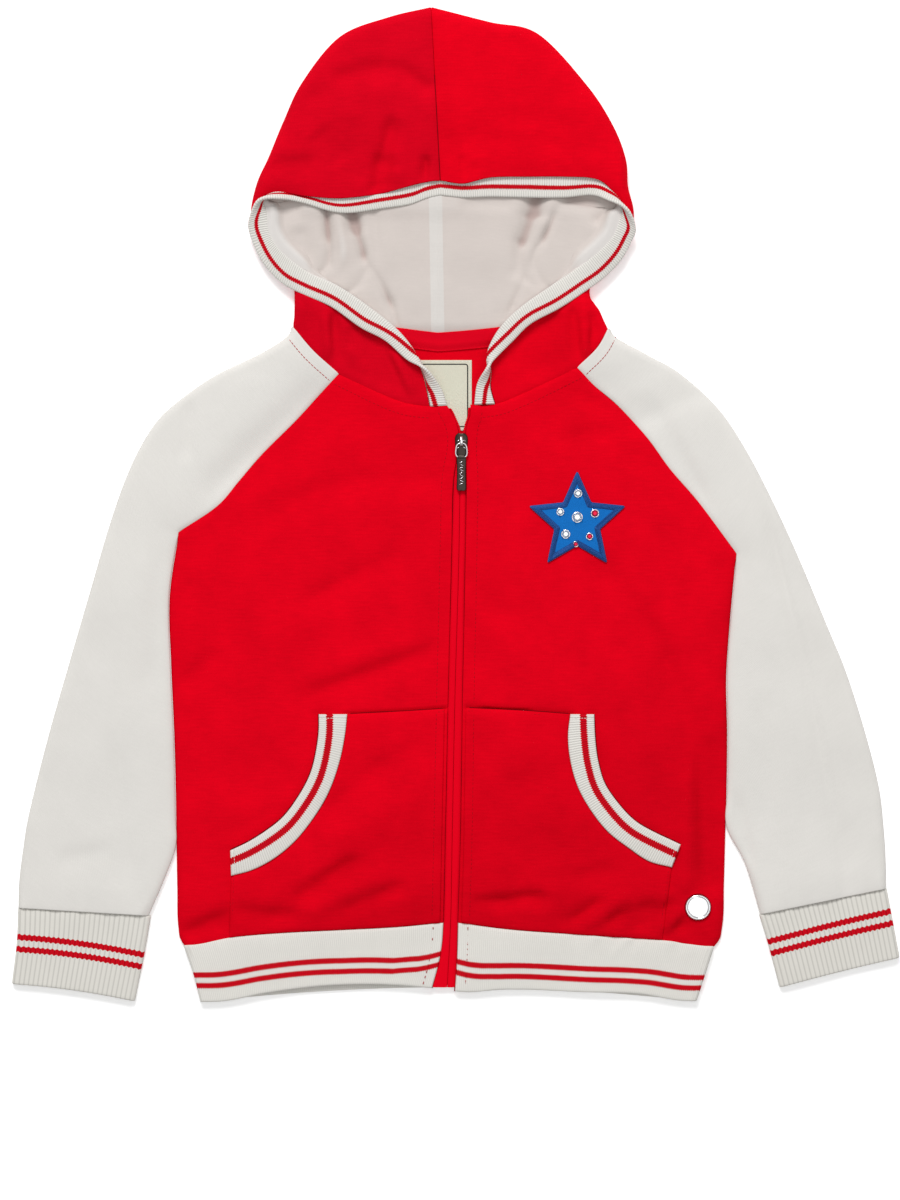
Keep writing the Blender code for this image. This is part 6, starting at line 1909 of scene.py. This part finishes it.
def seams():
    """Every line of topstitching on the body, and the painted shadow lines along its seams and folded edges.
    """
    turn = np.linspace(0, 2 * np.pi, 80)
    ring = np.array(BADGE) + (BADGE_RADIUS + 0.2) * np.column_stack([np.cos(turn), np.sin(turn)])
    # Painted shadows: a dark line in the crown's middle seam, and one round the disc where it sits in the
    # cloth
    crest = LAID["hood_outer_right"][-1]
    crest = crest[len(crest) * 3 // 5:-3] + (0, 0, KNIT / 2 - 0.1)
    painted_shadow_line("crown_seam_shadow", crest, 0.3)
    painted_shadow_line("badge_seat_shadow", on_cloth(ring, "front_right", KNIT / 2 + 0.15), 0.4)
    for side, inwards in INWARDS.items():
        way = -inwards
        zip_edge = sampled(ZIP_EDGE[side], 160)
        line = zip_edge + sideways(zip_edge, (way * 200, -100)) * TOPSTITCH
        upper = line[(line[:, 1] > -131) & (line[:, 1] < 62)]
        lower = line[(line[:, 1] < -134) & (line[:, 1] > -268)]
        over = KNIT / 2 - 0.06
        stitches(f"zip_stitches_{side}", on_cloth(upper, f"front_{side}", over))
        stitches(f"zip_stitches_low_{side}", on_cloth(lower, f"pocket_{side}", over))
        edge = sampled(NECK[side][2:], 60)
        line = edge + sideways(edge, (0, 0)) * TOPSTITCH
        line = line[np.abs(line[:, 0] - 3 * way) > 13]
        stitches(f"neck_stitches_{side}", on_cloth(line, f"front_{side}", over))
        edge = sampled(NECK[side][:3], 40)
        line = (edge + sideways(edge, (way * 300, 0)) * 7.5)[2:-1]
        line = on_cloth(line, f"sleeve_{side}", over + 0.08)
        stitches(f"shoulder_stitches_{side}", line, slot="white_knit", pitch=2.3, length=2.15, radius=0.25)
        # A painted shadow along the pocket's top edge
        seam = sampled(POCKET_TOP[side], 90)[2:-2] + (0, 0.25)
        painted_shadow_line(f"pocket_top_shadow_{side}", on_cloth(seam, f"front_{side}", KNIT / 2 - 0.05), 0.4)
        # A painted shadow along the trim's free edge
        seam = sampled(TRIM_OUTER[side], 160)
        seam = seam + sideways(seam, (way * 400, -300)) * 0.35
        painted_shadow_line(f"pocket_trim_shadow_{side}", on_cloth(seam, f"front_{side}", KNIT / 2 - 0.1), 0.45)
        top = sampled(POCKET_TOP[side], 50) - (0, 1.9)
        stitches(f"pocket_top_stitches_{side}", on_cloth(top, f"pocket_{side}", over), pitch=2.4, radius=0.2)
        end = np.array([TRIM_INNER[side][-1], POCKET_SEAM_END[side]], float) - (way * 1.9, 0)
        end = end[0] + np.linspace(0.04, 0.96, 20)[:, None] * (end[1] - end[0])
        stitches(f"pocket_side_stitches_{side}", on_cloth(end, f"pocket_{side}", over), pitch=2.4, radius=0.2)
        for place, (a, b) in (("top", (TRIM_INNER[side][0], TRIM_OUTER[side][0])),
                              ("low", (TRIM_INNER[side][-1], TRIM_OUTER[side][-1]))):
            a, b = np.array(a, float), np.array(b, float)
            shift = np.array([0, -2.6]) if place == "top" else np.array([-way * 2.6, 0.4])
            line = a + np.linspace(0.06, 0.94, 16)[:, None] * (b - a) + shift
            line = on_cloth(line, f"pocket_trim_{side}", RIB / 2 - 0.02)
            stitches(f"pocket_bar_{place}_{side}", line, WHITE_THREAD, "white_rib", 1.9, 1.5, 0.2)
        line = sampled(HEM_ZIP[side], 40)[2:-2]
        line = on_cloth(line + (way * 6.5, 0), "hem_band", RIB / 2 + 0.4)
        stitches(f"hem_zip_stitches_{side}", line, slot="white_rib", pitch=2.3, length=2.0, radius=0.28)
        # A painted shadow where each front's folded edge meets its zip tape
        beside_zip = zip_edge[(zip_edge[:, 1] > -271) & (zip_edge[:, 1] < 38)]
        line = np.vstack([sampled(HEM_ZIP[side])[::-1][:-1], beside_zip])
        line = np.column_stack([line - (way * 0.25, 0), np.full(len(line), TAPE_MID + TAPE / 2 + 0.2)])
        painted_shadow_line(f"zip_fold_shadow_{side}", line, 0.33)


# ------------------------------------------------------------------ the room


FLOOR_WHITE = (0.98, 0.98, 0.98, 1)
FLOOR_GLOW = 0.24       # a lit table, so that the ground stays white
WORLD_LIGHT = 0.36
LAMPS = [("key", (-0.5, 2.95, 3.2), 1.5, 140.0), ("overhead", (0.3, -0.1, 3.2), 2.6, 27.0)]
CAMERA_HEIGHT = 2.4
FRAME_HEIGHT = 0.78
FRAME_MIDDLE = (-0.0037, -0.0618)


def room():
    """Pale floor, soft light from beyond the hood with a wide fill, and the camera straight above."""
    size = 3.0
    corner = np.array([[-size, -size, 0], [size, -size, 0], [size, size, 0], [-size, size, 0]])
    low = corner / MM + (0, 0, -20)
    box = np.concatenate([low, corner / MM + (0, 0, -0.4)])
    quads = np.array([[3, 2, 1, 0], [4, 5, 6, 7], [0, 1, 5, 4], [1, 2, 6, 5], [2, 3, 7, 6], [3, 0, 4, 7]])
    floor = put("floor", box, quads)
    material, net, shader = plain_material("pale_floor")
    grain = net.noise(net.add("ShaderNodeTexCoord").outputs["Object"], 40.0, 3.0)
    shade = net.math("MULTIPLY_ADD", grain, 0.01, 0.995)
    net.feed(shader.inputs["Base Color"], net.shaded(FLOOR_WHITE, shade))
    shader.inputs["Roughness"].default_value = 1.0
    shader.inputs["Specular IOR Level"].default_value = 0.0
    shader.inputs["Emission Color"].default_value = (1, 1, 1, 1)
    shader.inputs["Emission Strength"].default_value = FLOOR_GLOW
    floor.data.materials.append(material)

    world = bpy.data.worlds.new("studio")
    world.use_nodes = True
    world.node_tree.nodes["Background"].inputs["Color"].default_value = (1, 1, 1, 1)
    world.node_tree.nodes["Background"].inputs["Strength"].default_value = WORLD_LIGHT
    bpy.context.scene.world = world

    for name, place, size, power in LAMPS:
        lamp = bpy.data.lights.new(name, "AREA")
        lamp.shape = "SQUARE"
        lamp.size = size
        lamp.energy = power
        thing = bpy.data.objects.new(name, lamp)
        thing.location = place
        thing.rotation_euler = Vector(place).to_track_quat("Z", "Y").to_euler()
        bpy.context.collection.objects.link(thing)

    lens = bpy.data.cameras.new("camera")
    lens.sensor_fit = "VERTICAL"
    lens.sensor_height = 36.0
    lens.lens = 36.0 * CAMERA_HEIGHT / FRAME_HEIGHT
    lens.clip_end = 50.0
    camera = bpy.data.objects.new("camera", lens)
    camera.location = (*FRAME_MIDDLE, CAMERA_HEIGHT + 0.008)
    bpy.context.collection.objects.link(camera)
    bpy.context.scene.camera = camera
    bpy.context.scene.view_settings.view_transform = "Standard"


# ------------------------------------------------------------------ the jacket

back()
for half in ("left", "right"):
    front(half)
    sleeve(half)
    cuff(half)
    pocket(half)
    pocket_trim(half)
    hood_outer(half)
    hood_lining(half)
    zip_tape(half)
hem()
hood_trim()
zip_teeth()
slider()
pull()
disc()
star()
stones()
label()
neck_tape()
seams()
room()
